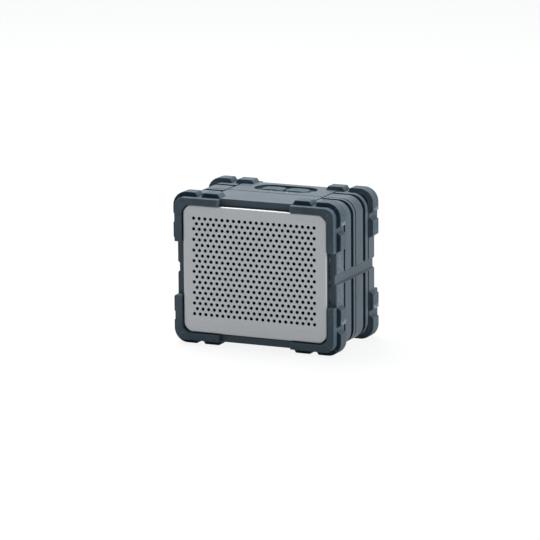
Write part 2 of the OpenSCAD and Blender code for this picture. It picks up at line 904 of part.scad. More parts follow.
module dust_cap(side) {
    cap_r = coil_r + 4;
    edge_r = coil_r + 1.2;
    edge_h = neck_h - 1.2 * cone_depth / (cone_r - coil_r) - 0.3;
    centre_h = edge_h + sqrt(cap_r * cap_r - edge_r * edge_r);
    color(black_colour) translate([side * driver_x, baffle_back, driver_z]) difference() {
        translate([0, centre_h, 0]) sphere(cap_r);
        translate([0, centre_h, 0]) sphere(cap_r - 0.6);
        box([-cap_r - 1, edge_h, -cap_r - 1], [cap_r + 1, edge_h + 3 * cap_r, cap_r + 1]);
    }
}

module surround(side) {
    roll_at = cone_r + cone_gap + roll_r;
    color(black_colour) turned(side) {
        intersection() {
            translate([roll_at, landing_t]) difference() {
                circle(roll_r);
                circle(roll_r - roll_t);
            }
            translate([roll_at - 2 * roll_r, landing_t - 2 * roll_r]) square([4 * roll_r, 2 * roll_r]);
        }
        translate([roll_at + roll_r - roll_t, 0]) square([flange_r - roll_at - roll_r + roll_t, landing_t]);
    }
}

module driver_screws() {
    color(steel_colour) for (side = [-1, 1], place = ear_places(side)) {
        translate([place[0], baffle_back + landing_t + basket_flange_t + small_head_h, place[1]])
            rotate([-90, 0, 0])
            screw(small_d, small_head_d, small_head_h, landing_t + basket_flange_t + driver_screw_bite);
    }
}

// Leads from the flanges of the drivers to the main board
module speaker_leads() {
    color(lead_colour) for (side = [-1, 1]) {
        rod_y(side * (driver_x - (flange_r - 1) * cos(speaker_lead_angle)),
            driver_z + (flange_r - 1) * sin(speaker_lead_angle), lead_r,
            baffle_back + landing_t + basket_flange_t, board_front);
    }
}

// Rear panel and ports

module rear_panel() {
    color(case_colour) difference() {
        union() {
            slab(panel_inner, panel_face) rounded(grille_w, grille_h, grille_r);
            slab(panel_seat, panel_inner + eps) difference() {
                rounded(grille_w, grille_h, grille_r);
                rounded(grille_w - 2 * panel_wall, grille_h - 2 * panel_wall, grille_r - panel_wall / 2);
            }
            box([-housing_w / 2, bay_back, hinge_z - knuckle_r - flap_gap - bay_wall],
                [housing_w / 2, panel_inner + eps, flap_top + flap_gap + bay_wall]);
            for (place = LEDGE_SCREWS) {
                rod_y(place[0], mid_z + place[1], ledge_boss_r, panel_seat, panel_inner + eps);
            }
            for (sx = [-1, 1], sz = [-1, 1]) {
                rod_y(sx * standoff_x, board_z + sz * standoff_z, standoff_r, board_back, panel_inner + eps);
            }
        }
        for (place = LEDGE_SCREWS) {
            rod_y(place[0], mid_z + place[1], screw_d / 2 + screw_gap, panel_seat - 1, panel_face + 1);
            rod_y(place[0], mid_z + place[1], screw_head_d / 2 + screw_gap, panel_face - screw_head_h,
                panel_face + 1);
        }
        for (sx = [-1, 1], sz = [-1, 1]) {
            rod_y(sx * standoff_x, board_z + sz * standoff_z, small_d / 2 + screw_gap, board_back - 1,
                board_back + board_screw_bite + screw_tip_room);
        }
        box([-bay_w / 2, bay_floor, bay_z - bay_h / 2], [bay_w / 2, panel_face + 1, bay_z + bay_h / 2]);
        flap_recess();
        rod_x(hinge_y, hinge_z, pin_d / 2 + 0.02, -pin_len / 2, pin_len / 2);
        port_holes();
    }
}

// Recess for the flap and its knuckle
module flap_recess() {
    half = flap_w / 2 + flap_gap;
    box([-half, flap_in - 0.3, hinge_z], [half, panel_face + 1, flap_top + flap_gap]);
    box([-half, hinge_y - knuckle_r - flap_gap, hinge_z - knuckle_r - flap_gap],
        [half, panel_face + 1, hinge_z + knuckle_r + flap_gap]);
}

// Holes in the floor of the bay for the socket, the jack and the slider
module port_holes() {
    box([-port_step - 4.7, bay_back - 1, bay_z - 1.9], [-port_step + 4.7, bay_floor + 1, bay_z + 1.9]);
    rod_y(0, bay_z, 3.1, bay_back - 1, bay_floor + 1);
    box([port_step - 1.85, bay_back - 1, bay_z - 1.6],
        [port_step + 1.85 + slider_travel, bay_floor + 1, bay_z + 1.6]);
}

module rear_panel_gasket() {
    ledge_gasket(rear_ledge_back);
}

module rear_panel_screws() {
    shank = panel_face - screw_head_h - rear_ledge_front + ledge_boss_len - 2 * screw_tip_room;
    color(steel_colour) for (place = LEDGE_SCREWS) {
        case_screw_at(place[0], panel_face, mid_z + place[1], shank, 1);
    }
}

module port_flap() {
    grip_r = 6;
    color(guard_colour) difference() {
        union() {
            box([-flap_w / 2, flap_in, hinge_z], [flap_w / 2, panel_face, flap_top]);
            rod_x(hinge_y, hinge_z, knuckle_r, -flap_w / 2, flap_w / 2);
        }
        rod_x(hinge_y, hinge_z, pin_d / 2 + running_gap, -flap_w / 2 - 1, flap_w / 2 + 1);
        rod_y(0, flap_top + grip_r - 1.5, grip_r, panel_face - 1, panel_face + 1);
    }
}

module flap_pin() {
    color(steel_colour) rod_x(hinge_y, hinge_z, pin_d / 2, -pin_len / 2, pin_len / 2);
}

// Main board and what stands on it

module main_board() {
    color(board_colour) difference() {
        translate([0, (board_front + board_back) / 2, board_z])
            cube([board_w, board_t, board_h], center = true);
        for (sx = [-1, 1], sz = [-1, 1]) {
            rod_y(sx * standoff_x, board_z + sz * standoff_z, small_d / 2 + screw_gap, board_front - 1,
                board_back + 1);
        }
    }
}

module main_board_screws() {
    color(steel_colour) for (sx = [-1, 1], sz = [-1, 1]) {
        translate([sx * standoff_x, board_front - small_head_h, board_z + sz * standoff_z])
            rotate([90, 0, 0]) screw(small_d, small_head_d, small_head_h, board_t + board_screw_bite);
    }
}

// Small carrier with a shield can, at the left of the board
module radio_module() {
    x = radio_in - board_w / 2;
    z = board_z + radio_up;
    color(silver_colour) {
        translate([x, board_front - carrier_t, z]) cube([carrier_w, carrier_t, carrier_h]);
        translate([x + can_in, board_front - carrier_t - can_t, z + can_in]) cube([can_w, can_t, can_h]);
    }
}

// Amplifier chip under a finned heat spreader, at the right of the board
module amplifier() {
    x = board_w / 2 - spreader_in;
    z = board_z - spreader_down;
    step = (spreader_w - fin_t) / (fins - 1);
    color(black_colour) {
        translate([x, board_front - spreader_t, z]) cube([spreader_w, spreader_t, spreader_w]);
        for (count = [0 : fins - 1]) {
            translate([x + count * step, board_front - spreader_t - fin_h, z])
                cube([fin_t, fin_h, spreader_w]);
        }
    }
}

module capacitors() {
    color([0.15, 0.15, 0.3]) for (count = [-1 : 1]) {
        rod_y(count * capacitor_step, board_z - capacitor_drop, capacitor_r, board_front - capacitor_len,
            board_front);
    }
}

module charging_socket() {
    color(silver_colour) difference() {
        box([-port_step - 4.5, board_back, bay_z - 1.7], [-port_step + 4.5, bay_floor, bay_z + 1.7]);
        difference() {
            box([-port_step - 4, bay_floor - 4.5, bay_z - 1.2],
                [-port_step + 4, bay_floor + 1, bay_z + 1.2]);
            box([-port_step - 3, bay_floor - 5, bay_z - 0.35],
                [-port_step + 3, bay_floor - 0.6, bay_z + 0.35]);
        }
    }
}

module audio_jack() {
    color(black_colour) difference() {
        union() {
            rod_y(0, bay_z, 4, board_back, bay_back - 0.3);
            rod_y(0, bay_z, 3, board_back, bay_floor);
        }
        rod_y(0, bay_z, 1.8, board_back + 1, bay_floor + 1);
    }
}

module power_switch() {
    color(silver_colour) box([port_step - 4, board_back, bay_z - 3],
        [port_step + slider_travel + 4, bay_back - 2, bay_z + 3]);
}

// Slider with its foot under the floor of the bay
module power_slider() {
    color(black_colour) {
        box([port_step - 2.5, bay_back - 1.7, bay_z - 2.2], [port_step + 2.5, bay_back - 0.3, bay_z + 2.2]);
        box([port_step - 1.5, bay_back - 0.4, bay_z - 1.2], [port_step + 1.5, bay_floor + 1.8, bay_z + 1.2]);
    }
}

// Battery

module battery_cells() {
    color([0.15, 0.35, 0.6]) for (sy = [-1, 1]) {
        rod_x(tray_y + sy * cell_y, cell_z, cell_r, -cell_len / 2, cell_len / 2);
        rod_x(tray_y + sy * cell_y, cell_z, 3, cell_len / 2 - eps, cell_len / 2 + 1);
    }
}

module battery_tray() {
    color(black_colour) difference() {
        union() {
            box([-tray_len / 2, tray_y - tray_w / 2, cavity_floor], [tray_len / 2, tray_back, tray_top]);
            box([-tray_len / 2 - tray_tab, tray_y - tray_w / 2, cavity_floor],
                [tray_len / 2 + tray_tab, tray_back, cavity_floor + tray_base]);
        }
        for (sy = [-1, 1]) rod_x(tray_y + sy * cell_y, cell_z, cradle_r, -tray_in / 2, tray_in / 2);
        box([-tray_in / 2, tray_y - tray_w / 2 - 1, cell_z], [tray_in / 2, tray_back + 1, tray_top + 1]);
        for (sx = [-1, 1], y = TRAY_SCREWS_Y) {
            translate([sx * (tray_len + tray_tab) / 2, y, cavity_floor - 1])
                cylinder(r = small_d / 2 + screw_gap, h = tray_base + 2);
            translate([sx * (tray_len - tray_end) / 2, y, tray_top - cover_screw_bite - screw_tip_room])
                cylinder(r = small_d / 2 + screw_gap, h = cover_screw_bite + screw_tip_room + 1);
        }
    }
}

module battery_cover() {
    color(black_colour) difference() {
        box([-tray_len / 2, tray_y - tray_w / 2, tray_top], [tray_len / 2, tray_back, tray_top + cover_t]);
        for (sx = [-1, 1], y = TRAY_SCREWS_Y) {
            translate([sx * (tray_len - tray_end) / 2, y, tray_top - 1])
                cylinder(r = small_d / 2 + screw_gap, h = cover_t + 2);
        }
    }
}

module battery_screws() {
    color(steel_colour) for (sx = [-1, 1], y = TRAY_SCREWS_Y) {
        translate([sx * (tray_len + tray_tab) / 2, y, cavity_floor + tray_base + small_head_h])
            screw(small_d, small_head_d, small_head_h, tray_base + tray_screw_bite);
        translate([sx * (tray_len - tray_end) / 2, y, tray_top + cover_t + small_head_h])
            screw(small_d, small_head_d, small_head_h, cover_t + cover_screw_bite);
    }
}

// Lead that rises from the battery cover and turns to the main board
module battery_lead() {
    lead_y = board_front - battery_lead_ahead;
    color(lead_colour) {
        translate([battery_lead_x, lead_y, tray_top + cover_t])
            cylinder(r = lead_r, h = battery_lead_z - tray_top - cover_t);
        translate([battery_lead_x, lead_y, battery_lead_z]) sphere(lead_r);
        rod_y(battery_lead_x, battery_lead_z, lead_r, lead_y, board_front);
    }
}

// Keys

module key_board() {
    color(board_colour) difference() {
        box([-key_board_half, key_board_front, key_board_z - board_t],
            [key_board_half, key_board_back, key_board_z]);
        for (sx = [-1, 1]) {
            translate([sx * key_post_x, key_y, key_board_z - board_t - 1])
                cylinder(r = small_d / 2 + screw_gap, h = board_t + 2);
        }
    }
}

module key_board_screws() {
    color(steel_colour) for (sx = [-1, 1]) {
        translate([sx * key_post_x, key_y, key_board_z - board_t - small_head_h]) mirror([0, 0, 1])
            screw(small_d, small_head_d, small_head_h, board_t + key_screw_bite);
    }
}

module key_switches() {
    color(black_colour) for (sx = [-1, 1]) {
        translate([sx * key_x, key_y, key_board_z]) {
            linear_extrude(switch_h - switch_button_h) square(switch_w, center = true);
            cylinder(r = switch_button_r, h = switch_h);
        }
    }
}

module key_gasket() {
    room = 1.2;
    pair_len = 2 * key_x + key_flange_len;
    color(black_colour) translate([0, key_y, ceiling_z - 1]) linear_extrude(1) difference() {
        square([pair_len + room + 8, key_flange_w + room + 2 * key_gasket_rim], center = true);
        square([pair_len + room, key_flange_w + room], center = true);
    }
}

module key_ribbon() {
    ribbon_w = 8;
    ribbon_t = 0.3;
    color([0.75, 0.6, 0.35]) box([-ribbon_w / 2, board_front + 0.2, board_z + board_h / 2],
        [ribbon_w / 2, board_front + 0.2 + ribbon_t, key_board_z - board_t]);
}

module indicator_lights() {
    color([0.85, 0.88, 0.9]) for (sx = [-1, 1]) {
        translate([sx * light_x, light_y, key_board_z]) cylinder(d = light_d, h = top_z - key_board_z);
    }
}

// Key with a crowned top set back on its flange under the recess floor, and a stem over its switch
module key(side) {
    flange_top = ceiling_z - key_rest_gap;
    color(guard_colour) translate([side * key_x, key_y, 0]) {
        intersection() {
            translate([0, key_set_back, flange_top - eps]) linear_extrude(top_z - flange_top + eps)
                rounded(key_len, key_w, key_r);
            translate([0, key_set_back, top_z - key_crown]) sphere(key_crown);
        }
        translate([0, 0, flange_top - key_flange_t]) linear_extrude(key_flange_t)
            square([key_flange_len, key_flange_w], center = true);
        translate([0, 0, key_stem_z]) cylinder(r = key_stem_r, h = flange_top - key_stem_z);
    }
}

front_shell();
rear_shell();
case_gasket();
case_screws();
guard(-1, -1, 1);  // front_guard_top_left
guard(1, -1, 1);  // front_guard_top_right
guard(-1, -1, -1);  // front_guard_bottom_left
guard(1, -1, -1);  // front_guard_bottom_right
guard(-1, 1, 1);  // rear_guard_top_left
guard(1, 1, 1);  // rear_guard_top_right
guard(-1, 1, -1);  // rear_guard_bottom_left
guard(1, 1, -1);  // rear_guard_bottom_right
grille();
grille_cloth();
baffle();
baffle_gasket();
baffle_screws();
basket(-1);  // left_basket
magnet(-1);  // left_magnet
voice_coil(-1);  // left_voice_coil
cone(-1);  // left_cone
dust_cap(-1);  // left_dust_cap
surround(-1);  // left_surround
key(-1);  // left_key
basket(1);  // right_basket
magnet(1);  // right_magnet
voice_coil(1);  // right_voice_coil
cone(1);  // right_cone
dust_cap(1);  // right_dust_cap
surround(1);  // right_surround
key(1);  // right_key
driver_screws();
speaker_leads();
rear_panel();
rear_panel_gasket();
rear_panel_screws();
port_flap();
flap_pin();
main_board();
main_board_screws();
radio_module();
amplifier();
capacitors();
charging_socket();
audio_jack();
power_switch();
power_slider();
battery_cells();
battery_tray();
battery_cover();
battery_screws();
battery_lead();
key_board();
key_board_screws();
key_switches();
key_gasket();
key_ribbon();
indicator_lights();
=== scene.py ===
# %% [markdown]
# # A rugged tabletop speaker
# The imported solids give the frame: where every piece sits, and what moves with what.
# This lesson dresses that frame. Each visible piece becomes a surface worked out with
# numpy, with the rounded edges and the moulded relief of the real one, and each finish
# becomes a set of shader nodes. Lengths are written in millimetres and turned into
# metres at the one place where a mesh is made.

# %% Load the frame
import json
import math
import bmesh
import bpy
import numpy as np
from mathutils import Matrix, Vector
from mathutils.geometry import delaunay_2d_cdt


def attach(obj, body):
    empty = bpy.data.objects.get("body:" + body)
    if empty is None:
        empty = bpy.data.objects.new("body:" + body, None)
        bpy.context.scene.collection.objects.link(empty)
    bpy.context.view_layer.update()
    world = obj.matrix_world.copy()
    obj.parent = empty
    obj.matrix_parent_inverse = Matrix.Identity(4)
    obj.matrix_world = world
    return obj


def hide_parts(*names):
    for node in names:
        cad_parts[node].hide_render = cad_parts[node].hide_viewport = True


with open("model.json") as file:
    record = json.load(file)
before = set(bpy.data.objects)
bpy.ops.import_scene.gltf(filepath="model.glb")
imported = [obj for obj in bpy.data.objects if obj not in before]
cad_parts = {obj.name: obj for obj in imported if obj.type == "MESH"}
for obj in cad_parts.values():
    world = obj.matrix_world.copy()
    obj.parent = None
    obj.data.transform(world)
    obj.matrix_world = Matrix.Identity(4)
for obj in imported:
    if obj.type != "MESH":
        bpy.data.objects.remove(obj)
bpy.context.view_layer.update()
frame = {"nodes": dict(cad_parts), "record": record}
MM = 0.001

# %% [markdown]
# ## The camera
# The photograph was taken from the right and from a little above, with a long lens. The rows
# of holes and the outline, measured in the picture, fix the camera: turn, height, roll and
# distance. A camera could be placed by eye, but a measured one lets every later
# difference be read as a fault of the model and not of the view.

# %% Camera
PHOTO_SIDE = 540
FOCAL_PIXELS = 4000.0
SENSOR, CLIP_END = 36.0, 30.0
VIEW_TURN, VIEW_RISE, VIEW_ROLL = 0.429, 0.209, -0.0075
VIEW_DISTANCE, VIEW_RIGHT, VIEW_UP = 3173.7, 12.9, 0.97
HOLE_FIELD_MIDDLE = np.array([-0.5, -42.4, 64.3])


def view_axes(turn, rise, roll):
    """Camera axes: back points at the camera, right is level, up is square to both, then both roll."""
    back = np.array([math.sin(turn) * math.cos(rise), -math.cos(turn) * math.cos(rise), math.sin(rise)])
    right = np.array([math.cos(turn), math.sin(turn), 0.0])
    up = np.cross(back, right)
    c, s = math.cos(roll), math.sin(roll)
    return c * right + s * up, c * up - s * right, back


def show(name, data):
    """New object for some data, linked into the scene."""
    thing = bpy.data.objects.new(name, data)
    bpy.context.scene.collection.objects.link(thing)
    return thing


right, up, back = view_axes(VIEW_TURN, VIEW_RISE, VIEW_ROLL)
eye = HOLE_FIELD_MIDDLE + back * VIEW_DISTANCE + right * VIEW_RIGHT + up * VIEW_UP
lens = bpy.data.cameras.new("photo_camera")
lens.sensor_width = SENSOR
lens.lens = FOCAL_PIXELS / PHOTO_SIDE * SENSOR
lens.clip_end = CLIP_END
camera = show("photo_camera", lens)
pose = np.eye(4)
pose[:3] = np.stack([right, up, back, eye * MM], 1)
camera.matrix_world = Matrix(pose)
bpy.context.scene.camera = camera
print("camera at", [round(v, 1) for v in eye], "mm, lens", round(lens.lens, 1), "mm")

# %% [markdown]
# ## Small tools for surfaces
# Moulded rubber and bent sheet have no truly sharp edge, so most profiles here start as a
# few corner points and get an arc at each corner. Flat faces with holes are filled by a
# Delaunay triangulation that keeps to the given loops. Everything is collected in a Skin,
# which makes one closed mesh and marks how far each point stands out, for the edge wear.

# %% Arcs at the corners of a profile
TINY, SLIM, STRAIGHT, ARC_STEPS = 1e-9, 1e-6, 1e-5, 4


def unit(vectors):
    """Vectors divided by their own length; one without length stays as it is."""
    return vectors / np.maximum(np.linalg.norm(vectors, axis=-1, keepdims=True), TINY)


def rounded_ring(points, radii):
    """Closed polygon with an arc at every corner, for one polygon or a stack of them.

    The arc meets the two sides at radius / tan(half the corner's angle) from the corner,
    its middle lies at radius / sin(half the angle) along the bisector, and its points
    blend the two end directions by sines, as on a circle.
    """
    to_last = unit(np.roll(points, 1, axis=-2) - points)
    to_next = unit(np.roll(points, -1, axis=-2) - points)
    half = np.arccos(np.clip((to_last * to_next).sum(-1), -1, 1))[..., None] / 2
    radius = np.asarray(radii, float)[..., None]
    cut = radius / np.tan(np.maximum(half, SLIM))
    middle = points + unit(to_last + to_next) * radius / np.maximum(np.sin(half), SLIM)
    first, last = points + to_last * cut, points + to_next * cut
    sweep = (np.pi - 2 * half)[..., None, :]
    t = np.linspace(0, 1, ARC_STEPS + 1)[:, None]
    straight = np.sin(sweep) < STRAIGHT
    base = np.where(straight, 1.0, np.sin(sweep))
    share_first = np.where(straight, 1 - t, np.sin((1 - t) * sweep) / base)
    share_last = np.where(straight, t, np.sin(t * sweep) / base)
    centre = np.where(straight, 0.0, middle[..., None, :])
    arc = centre + share_first * (first[..., None, :] - centre) + share_last * (last[..., None, :] - centre)
    return arc.reshape(arc.shape[:-3] + (-1, 2))


def rounded_line(points, radii):
    """Open line with an arc at each corner of a given radius; a corner of radius 0 stays one point."""
    points, radii = np.asarray(points, float), np.asarray(radii, float)
    arcs = rounded_ring(points, radii).reshape(len(points), ARC_STEPS + 1, 2)
    keep = np.ones(arcs.shape[:2], bool)
    keep[radii == 0, 1:] = False
    return arcs[keep]


def quarter_round(radius, count):
    """Pairs (inset, drop) from a face over its edge to the wall: radius * (1 - sine, 1 - cosine)."""
    turn = np.linspace(0, np.pi / 2, count)
    return radius * (1 - np.stack([np.sin(turn), np.cos(turn)], 1))


print("quarter round of 1 mm:", quarter_round(1.0, 3).round(2).tolist())


# %% Rounded rectangles with matching stations
class Loop:
    """Stations round a rounded rectangle, alike for every size.

    Each station has a place on a core rectangle, as shares of its half sides, and an outward
    normal. A loop of half sides a, b and corner radius r is core * (a - r, b - r) + r * normal.
    """

    def __init__(self, shares_x, shares_z, corner_steps):
        turn = np.linspace(0, np.pi / 2, corner_steps + 1)[1:-1]
        ones_x, ones_z = np.ones_like(shares_x), np.ones_like(shares_z)
        sides = [((shares_x, ones_x), (0.0, 1.0)), ((ones_z, shares_z[::-1]), (1.0, 0.0)),
                 ((shares_x[::-1], -ones_x), (0.0, -1.0)), ((-ones_z, shares_z), (-1.0, 0.0))]
        core, normal = [], []
        for number, (places, facing) in enumerate(sides):
            side = np.stack(places, 1)
            angle = np.pi / 2 - number * np.pi / 2 - turn
            core += [side, np.tile(side[-1], (len(turn), 1))]
            normal += [np.tile(facing, (len(side), 1)), np.stack([np.cos(angle), np.sin(angle)], 1)]
        self.core, self.normal = np.concatenate(core), np.concatenate(normal)

    def at(self, half_x, half_z, radius, grow=0.0):
        """Points of one loop, moved outwards by grow."""
        return self.core * [half_x - radius, half_z - radius] + (radius + grow) * self.normal


def circle(middle, radius, count):
    """Points of a circle: middle + radius * (cos, sin)."""
    turn = np.linspace(0, 2 * np.pi, count, endpoint=False)
    return np.asarray(middle, float) + radius * np.stack([np.cos(turn), np.sin(turn)], 1)


def facing_x(flat, x):
    """Points of a YZ drawing at x."""
    return np.stack([np.broadcast_to(x, flat.shape[:-1]), flat[..., 0], flat[..., 1]], -1)


def facing_y(flat, y):
    """Points of an XZ drawing at depth y."""
    return np.stack([flat[..., 0], np.broadcast_to(y, flat.shape[:-1]), flat[..., 1]], -1)


def facing_z(flat, z):
    """Points of an XY drawing at height z."""
    return np.stack([flat[..., 0], flat[..., 1], np.broadcast_to(z, flat.shape[:-1])], -1)


PLAIN_SIDE = np.array([-1.0, 1.0])
small_loop = Loop(PLAIN_SIDE, PLAIN_SIDE, 6)
print("stations of a small loop:", len(small_loop.core))


# %% Marks on the points of a mesh
EDGE_FULL = 0.16


def vertex_array(mesh, field):
    """Places (co) or normals (normal) of all the points of a mesh."""
    values = np.empty(len(mesh.vertices) * 3, np.float32)
    mesh.vertices.foreach_get(field, values)
    return values.reshape(-1, 3)


def set_mark(mesh, label, values):
    """Writes one value a point, between 0 and 1, as an attribute that a finish can read."""
    mark = mesh.attributes.get(label) or mesh.attributes.new(label, "FLOAT", "POINT")
    mark.data.foreach_set("value", np.clip(values, 0, 1).astype(np.float32))


def mark_edges(mesh):
    """Attribute edge: how far a point stands out.

    This is minus the mean slope to its neighbours along its normal, over the slope that counts as full.
    """
    count = len(mesh.vertices)
    place, normal = vertex_array(mesh, "co"), vertex_array(mesh, "normal")
    ends = np.empty(len(mesh.edges) * 2, np.int32)
    mesh.edges.foreach_get("vertices", ends)
    first, last = ends.reshape(-1, 2).T
    step = unit(place[last] - place[first])
    slope, links = np.zeros(count), np.zeros(count)
    np.add.at(slope, first, (step * normal[first]).sum(1))
    np.add.at(slope, last, -(step * normal[last]).sum(1))
    np.add.at(links, first, 1)
    np.add.at(links, last, 1)
    set_mark(mesh, "edge", -slope / np.maximum(links, 1) / EDGE_FULL)


print("a mean slope of", EDGE_FULL, "counts as a full edge")

# %% One mesh from grids and fills
SAME_PLACE, NO_LENGTH, SAME_DRAWN = 2e-7, 1e-7, 1e-5
SHARP_ANGLE, POST_SIDES = math.radians(40), 24


class Skin:
    """Collects surfaces in millimetres and makes one piece of them."""

    def __init__(self):
        self.points, self.faces, self.count = [], [], 0

    def add(self, points, faces):
        """Points with their faces, whose numbers go on from the points before."""
        points = np.asarray(points, float).reshape(-1, 3)
        self.points.append(points)
        self.faces.append(np.asarray(faces) + self.count)
        self.count += len(points)

    def grid(self, surface, close_rows=False, keep=None):
        """Quads between neighbouring rows and columns of a (rows, columns, 3) surface of closed rings."""
        rows, columns = surface.shape[:2]
        number = np.arange(rows * columns).reshape(rows, columns)
        if close_rows:
            number = np.concatenate([number, number[:1]], 0)
        number = np.concatenate([number, number[:, :1]], 1)
        quads = np.stack([number[:-1, :-1], number[:-1, 1:], number[1:, 1:], number[1:, :-1]], -1)
        if keep is not None:
            quads = quads[keep]
        self.add(surface, quads.reshape(-1, 4))

    def cap(self, ring):
        """One face over a ring of points."""
        self.add(ring, np.arange(len(ring))[None, :])

    def closed(self, surface):
        """Grid with a cap on its first and on its last ring."""
        self.grid(surface)
        self.cap(surface[0])
        self.cap(surface[-1])

    def tube(self, ring, start, end, lift=facing_y):
        """Wall along a flat ring from one level to another."""
        self.grid(np.stack([lift(ring, start), lift(ring, end)]))

    def post(self, middle, radius, low, high, lift=facing_y):
        """Closed round post between two levels."""
        ring = circle(middle, radius, POST_SIDES)
        self.closed(np.stack([lift(ring, low), lift(ring, high)]))

    def fill(self, loops, level, lift=facing_y):
        """Flat fill of the first loop, less the other loops, at one level.

        A triangle whose three points all lie on one of the other loops is inside that hole, and goes.
        """
        edges, start = [], 0
        for loop in loops:
            number = start + np.arange(len(loop))
            edges.append(np.stack([number, np.roll(number, -1)], 1))
            start += len(loop)
        flat = [Vector(point) for point in np.concatenate(loops)]
        drawn = delaunay_2d_cdt(flat, np.concatenate(edges).tolist(), [], 1, SAME_DRAWN)
        loop_of = np.repeat(np.arange(len(loops)), [len(loop) for loop in loops])
        mine = loop_of[[came_from[0] for came_from in drawn[3]]]
        faces = np.array(drawn[2])
        owner = mine[faces]
        in_hole = (owner[:, 0] > 0) & (owner[:, 0] == owner[:, 1]) & (owner[:, 0] == owner[:, 2])
        self.add(lift(np.array([point[:] for point in drawn[0]]), level), faces[~in_hole])

    def piece(self, name, finish, body, slot, *nodes, marks=None):
        """Mesh, merged and facing outwards, as an object that rides on a body and stands for its nodes.

        marks holds more attributes for the finish: a name, and a rule from points in millimetres to values.
        """
        mesh = bpy.data.meshes.new(name)
        faces = [face for block in self.faces for face in block.tolist()]
        mesh.from_pydata((np.concatenate(self.points) * MM).tolist(), [], faces)
        work = bmesh.new()
        work.from_mesh(mesh)
        bmesh.ops.remove_doubles(work, verts=work.verts, dist=SAME_PLACE)
        bmesh.ops.dissolve_degenerate(work, edges=work.edges, dist=NO_LENGTH)
        bmesh.ops.recalc_face_normals(work, faces=work.faces)
        open_edges = sum(1 for edge in work.edges if len(edge.link_faces) != 2)
        work.to_mesh(mesh)
        work.free()
        mesh.shade_smooth()
        mesh.set_sharp_from_angle(angle=SHARP_ANGLE)
        mark_edges(mesh)
        for label, rule in (marks or {}).items():
            set_mark(mesh, label, rule(vertex_array(mesh, "co") / MM))
        thing = show(name, mesh)
        mesh.materials.append(finish)
        even = thing.modifiers.new("even shading", "WEIGHTED_NORMAL")
        even.keep_sharp = True
        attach(thing, body)
        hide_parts(*nodes)
        print(name, len(mesh.polygons), "faces, open edges", open_edges)


print("surface tools ready")

# %% [markdown]
# ## Finishes
# Rubber, paint and the rest share a few effects: a fine grain, slow changes of tone, edges that
# are rubbed lighter, and painted shade in hollows. Each effect is one node group, built once and
# placed in the materials with its own values. Picture textures could do this too, but nodes on
# object coordinates have no seams and stay sharp at any distance.

# %% Node helpers
FLOAT, VECTOR, COLOUR = "NodeSocketFloat", "NodeSocketVector", "NodeSocketColor"
UNIT_RANGE = (0.0, 1.0)


def link_nodes(tree, kind, inputs=None, **settings):
    """New node in a tree with its settings; each input is a plain value or another node's output."""
    node = tree.nodes.new(kind)
    for name, value in settings.items():
        setattr(node, name, value)
    for key, value in (inputs or {}).items():
        if isinstance(value, bpy.types.NodeSocket):
            tree.links.new(value, node.inputs[key])
        else:
            node.inputs[key].default_value = value
    return node


def calculate(tree, operation, a, b, **settings):
    """Output of one operation on a and b."""
    return link_nodes(tree, "ShaderNodeMath", {0: a, 1: b}, operation=operation, **settings).outputs[0]


def blend(tree, share, a, b, how="MIX"):
    """Colour a with a share of colour b mixed in, or multiplied by it."""
    sockets = {0: share, 6: a, 7: b}
    return link_nodes(tree, "ShaderNodeMix", sockets, data_type="RGBA", blend_type=how).outputs[2]


def to_range(tree, value, ends, wanted=UNIT_RANGE):
    """Value moved from one pair of ends to another, and held there."""
    return link_nodes(tree, "ShaderNodeMapRange", {
        "Value": value, "From Min": ends[0], "From Max": ends[1],
        "To Min": wanted[0], "To Max": wanted[1]}).outputs[0]


def noise(tree, where, scale, detail, roughness):
    """Cloudy noise round a value of 0.5."""
    return link_nodes(tree, "ShaderNodeTexNoise", {
        "Vector": where, "Scale": scale, "Detail": detail, "Roughness": roughness}).outputs["Fac"]


def effect(name, scale, inputs, output, kind):
    """Empty node group with a place, a scale, more inputs (name, kind, default) and one output.

    Gives the group, and its inputs and output as the nodes inside it see them.
    """
    tree = bpy.data.node_groups.new(name, "ShaderNodeTree")
    for label, input_kind, default in [("Vector", VECTOR, None), ("Scale", FLOAT, scale)] + inputs:
        socket = tree.interface.new_socket(label, in_out="INPUT", socket_type=input_kind)
        if default is not None:
            socket.default_value = default
    tree.interface.new_socket(output, in_out="OUTPUT", socket_type=kind)
    return tree, tree.nodes.new("NodeGroupInput").outputs, tree.nodes.new("NodeGroupOutput").inputs


print("node helpers ready")

# %% Grain: fine moulded grain as a height
COARSE = 0.3
grain, given, result = effect("grain", 900.0, [], "Height", FLOAT)
fine = noise(grain, given["Vector"], given["Scale"], detail=3.0, roughness=0.6)
pits = link_nodes(grain, "ShaderNodeTexVoronoi", {"Vector": given["Vector"], "Scale": given["Scale"]})
mixed = link_nodes(grain, "ShaderNodeMix", {0: COARSE, 2: fine, 3: pits.outputs["Distance"]})
grain.links.new(mixed.outputs[0], result["Height"])
print("grain:", len(grain.nodes), "nodes")

# %% Tone: slow light and dark over a piece, round a value of 1
tone, given, result = effect("tone", 25.0, [("Depth", FLOAT, 0.2)], "Factor", FLOAT)
slow = noise(tone, given["Vector"], given["Scale"], detail=4.0, roughness=0.55)
darkest, lightest = [calculate(tone, sign, 1.0, given["Depth"]) for sign in ("SUBTRACT", "ADD")]
tone.links.new(to_range(tone, slow, (0.3, 0.7), (darkest, lightest)), result["Factor"])
print("tone:", len(tone.nodes), "nodes")

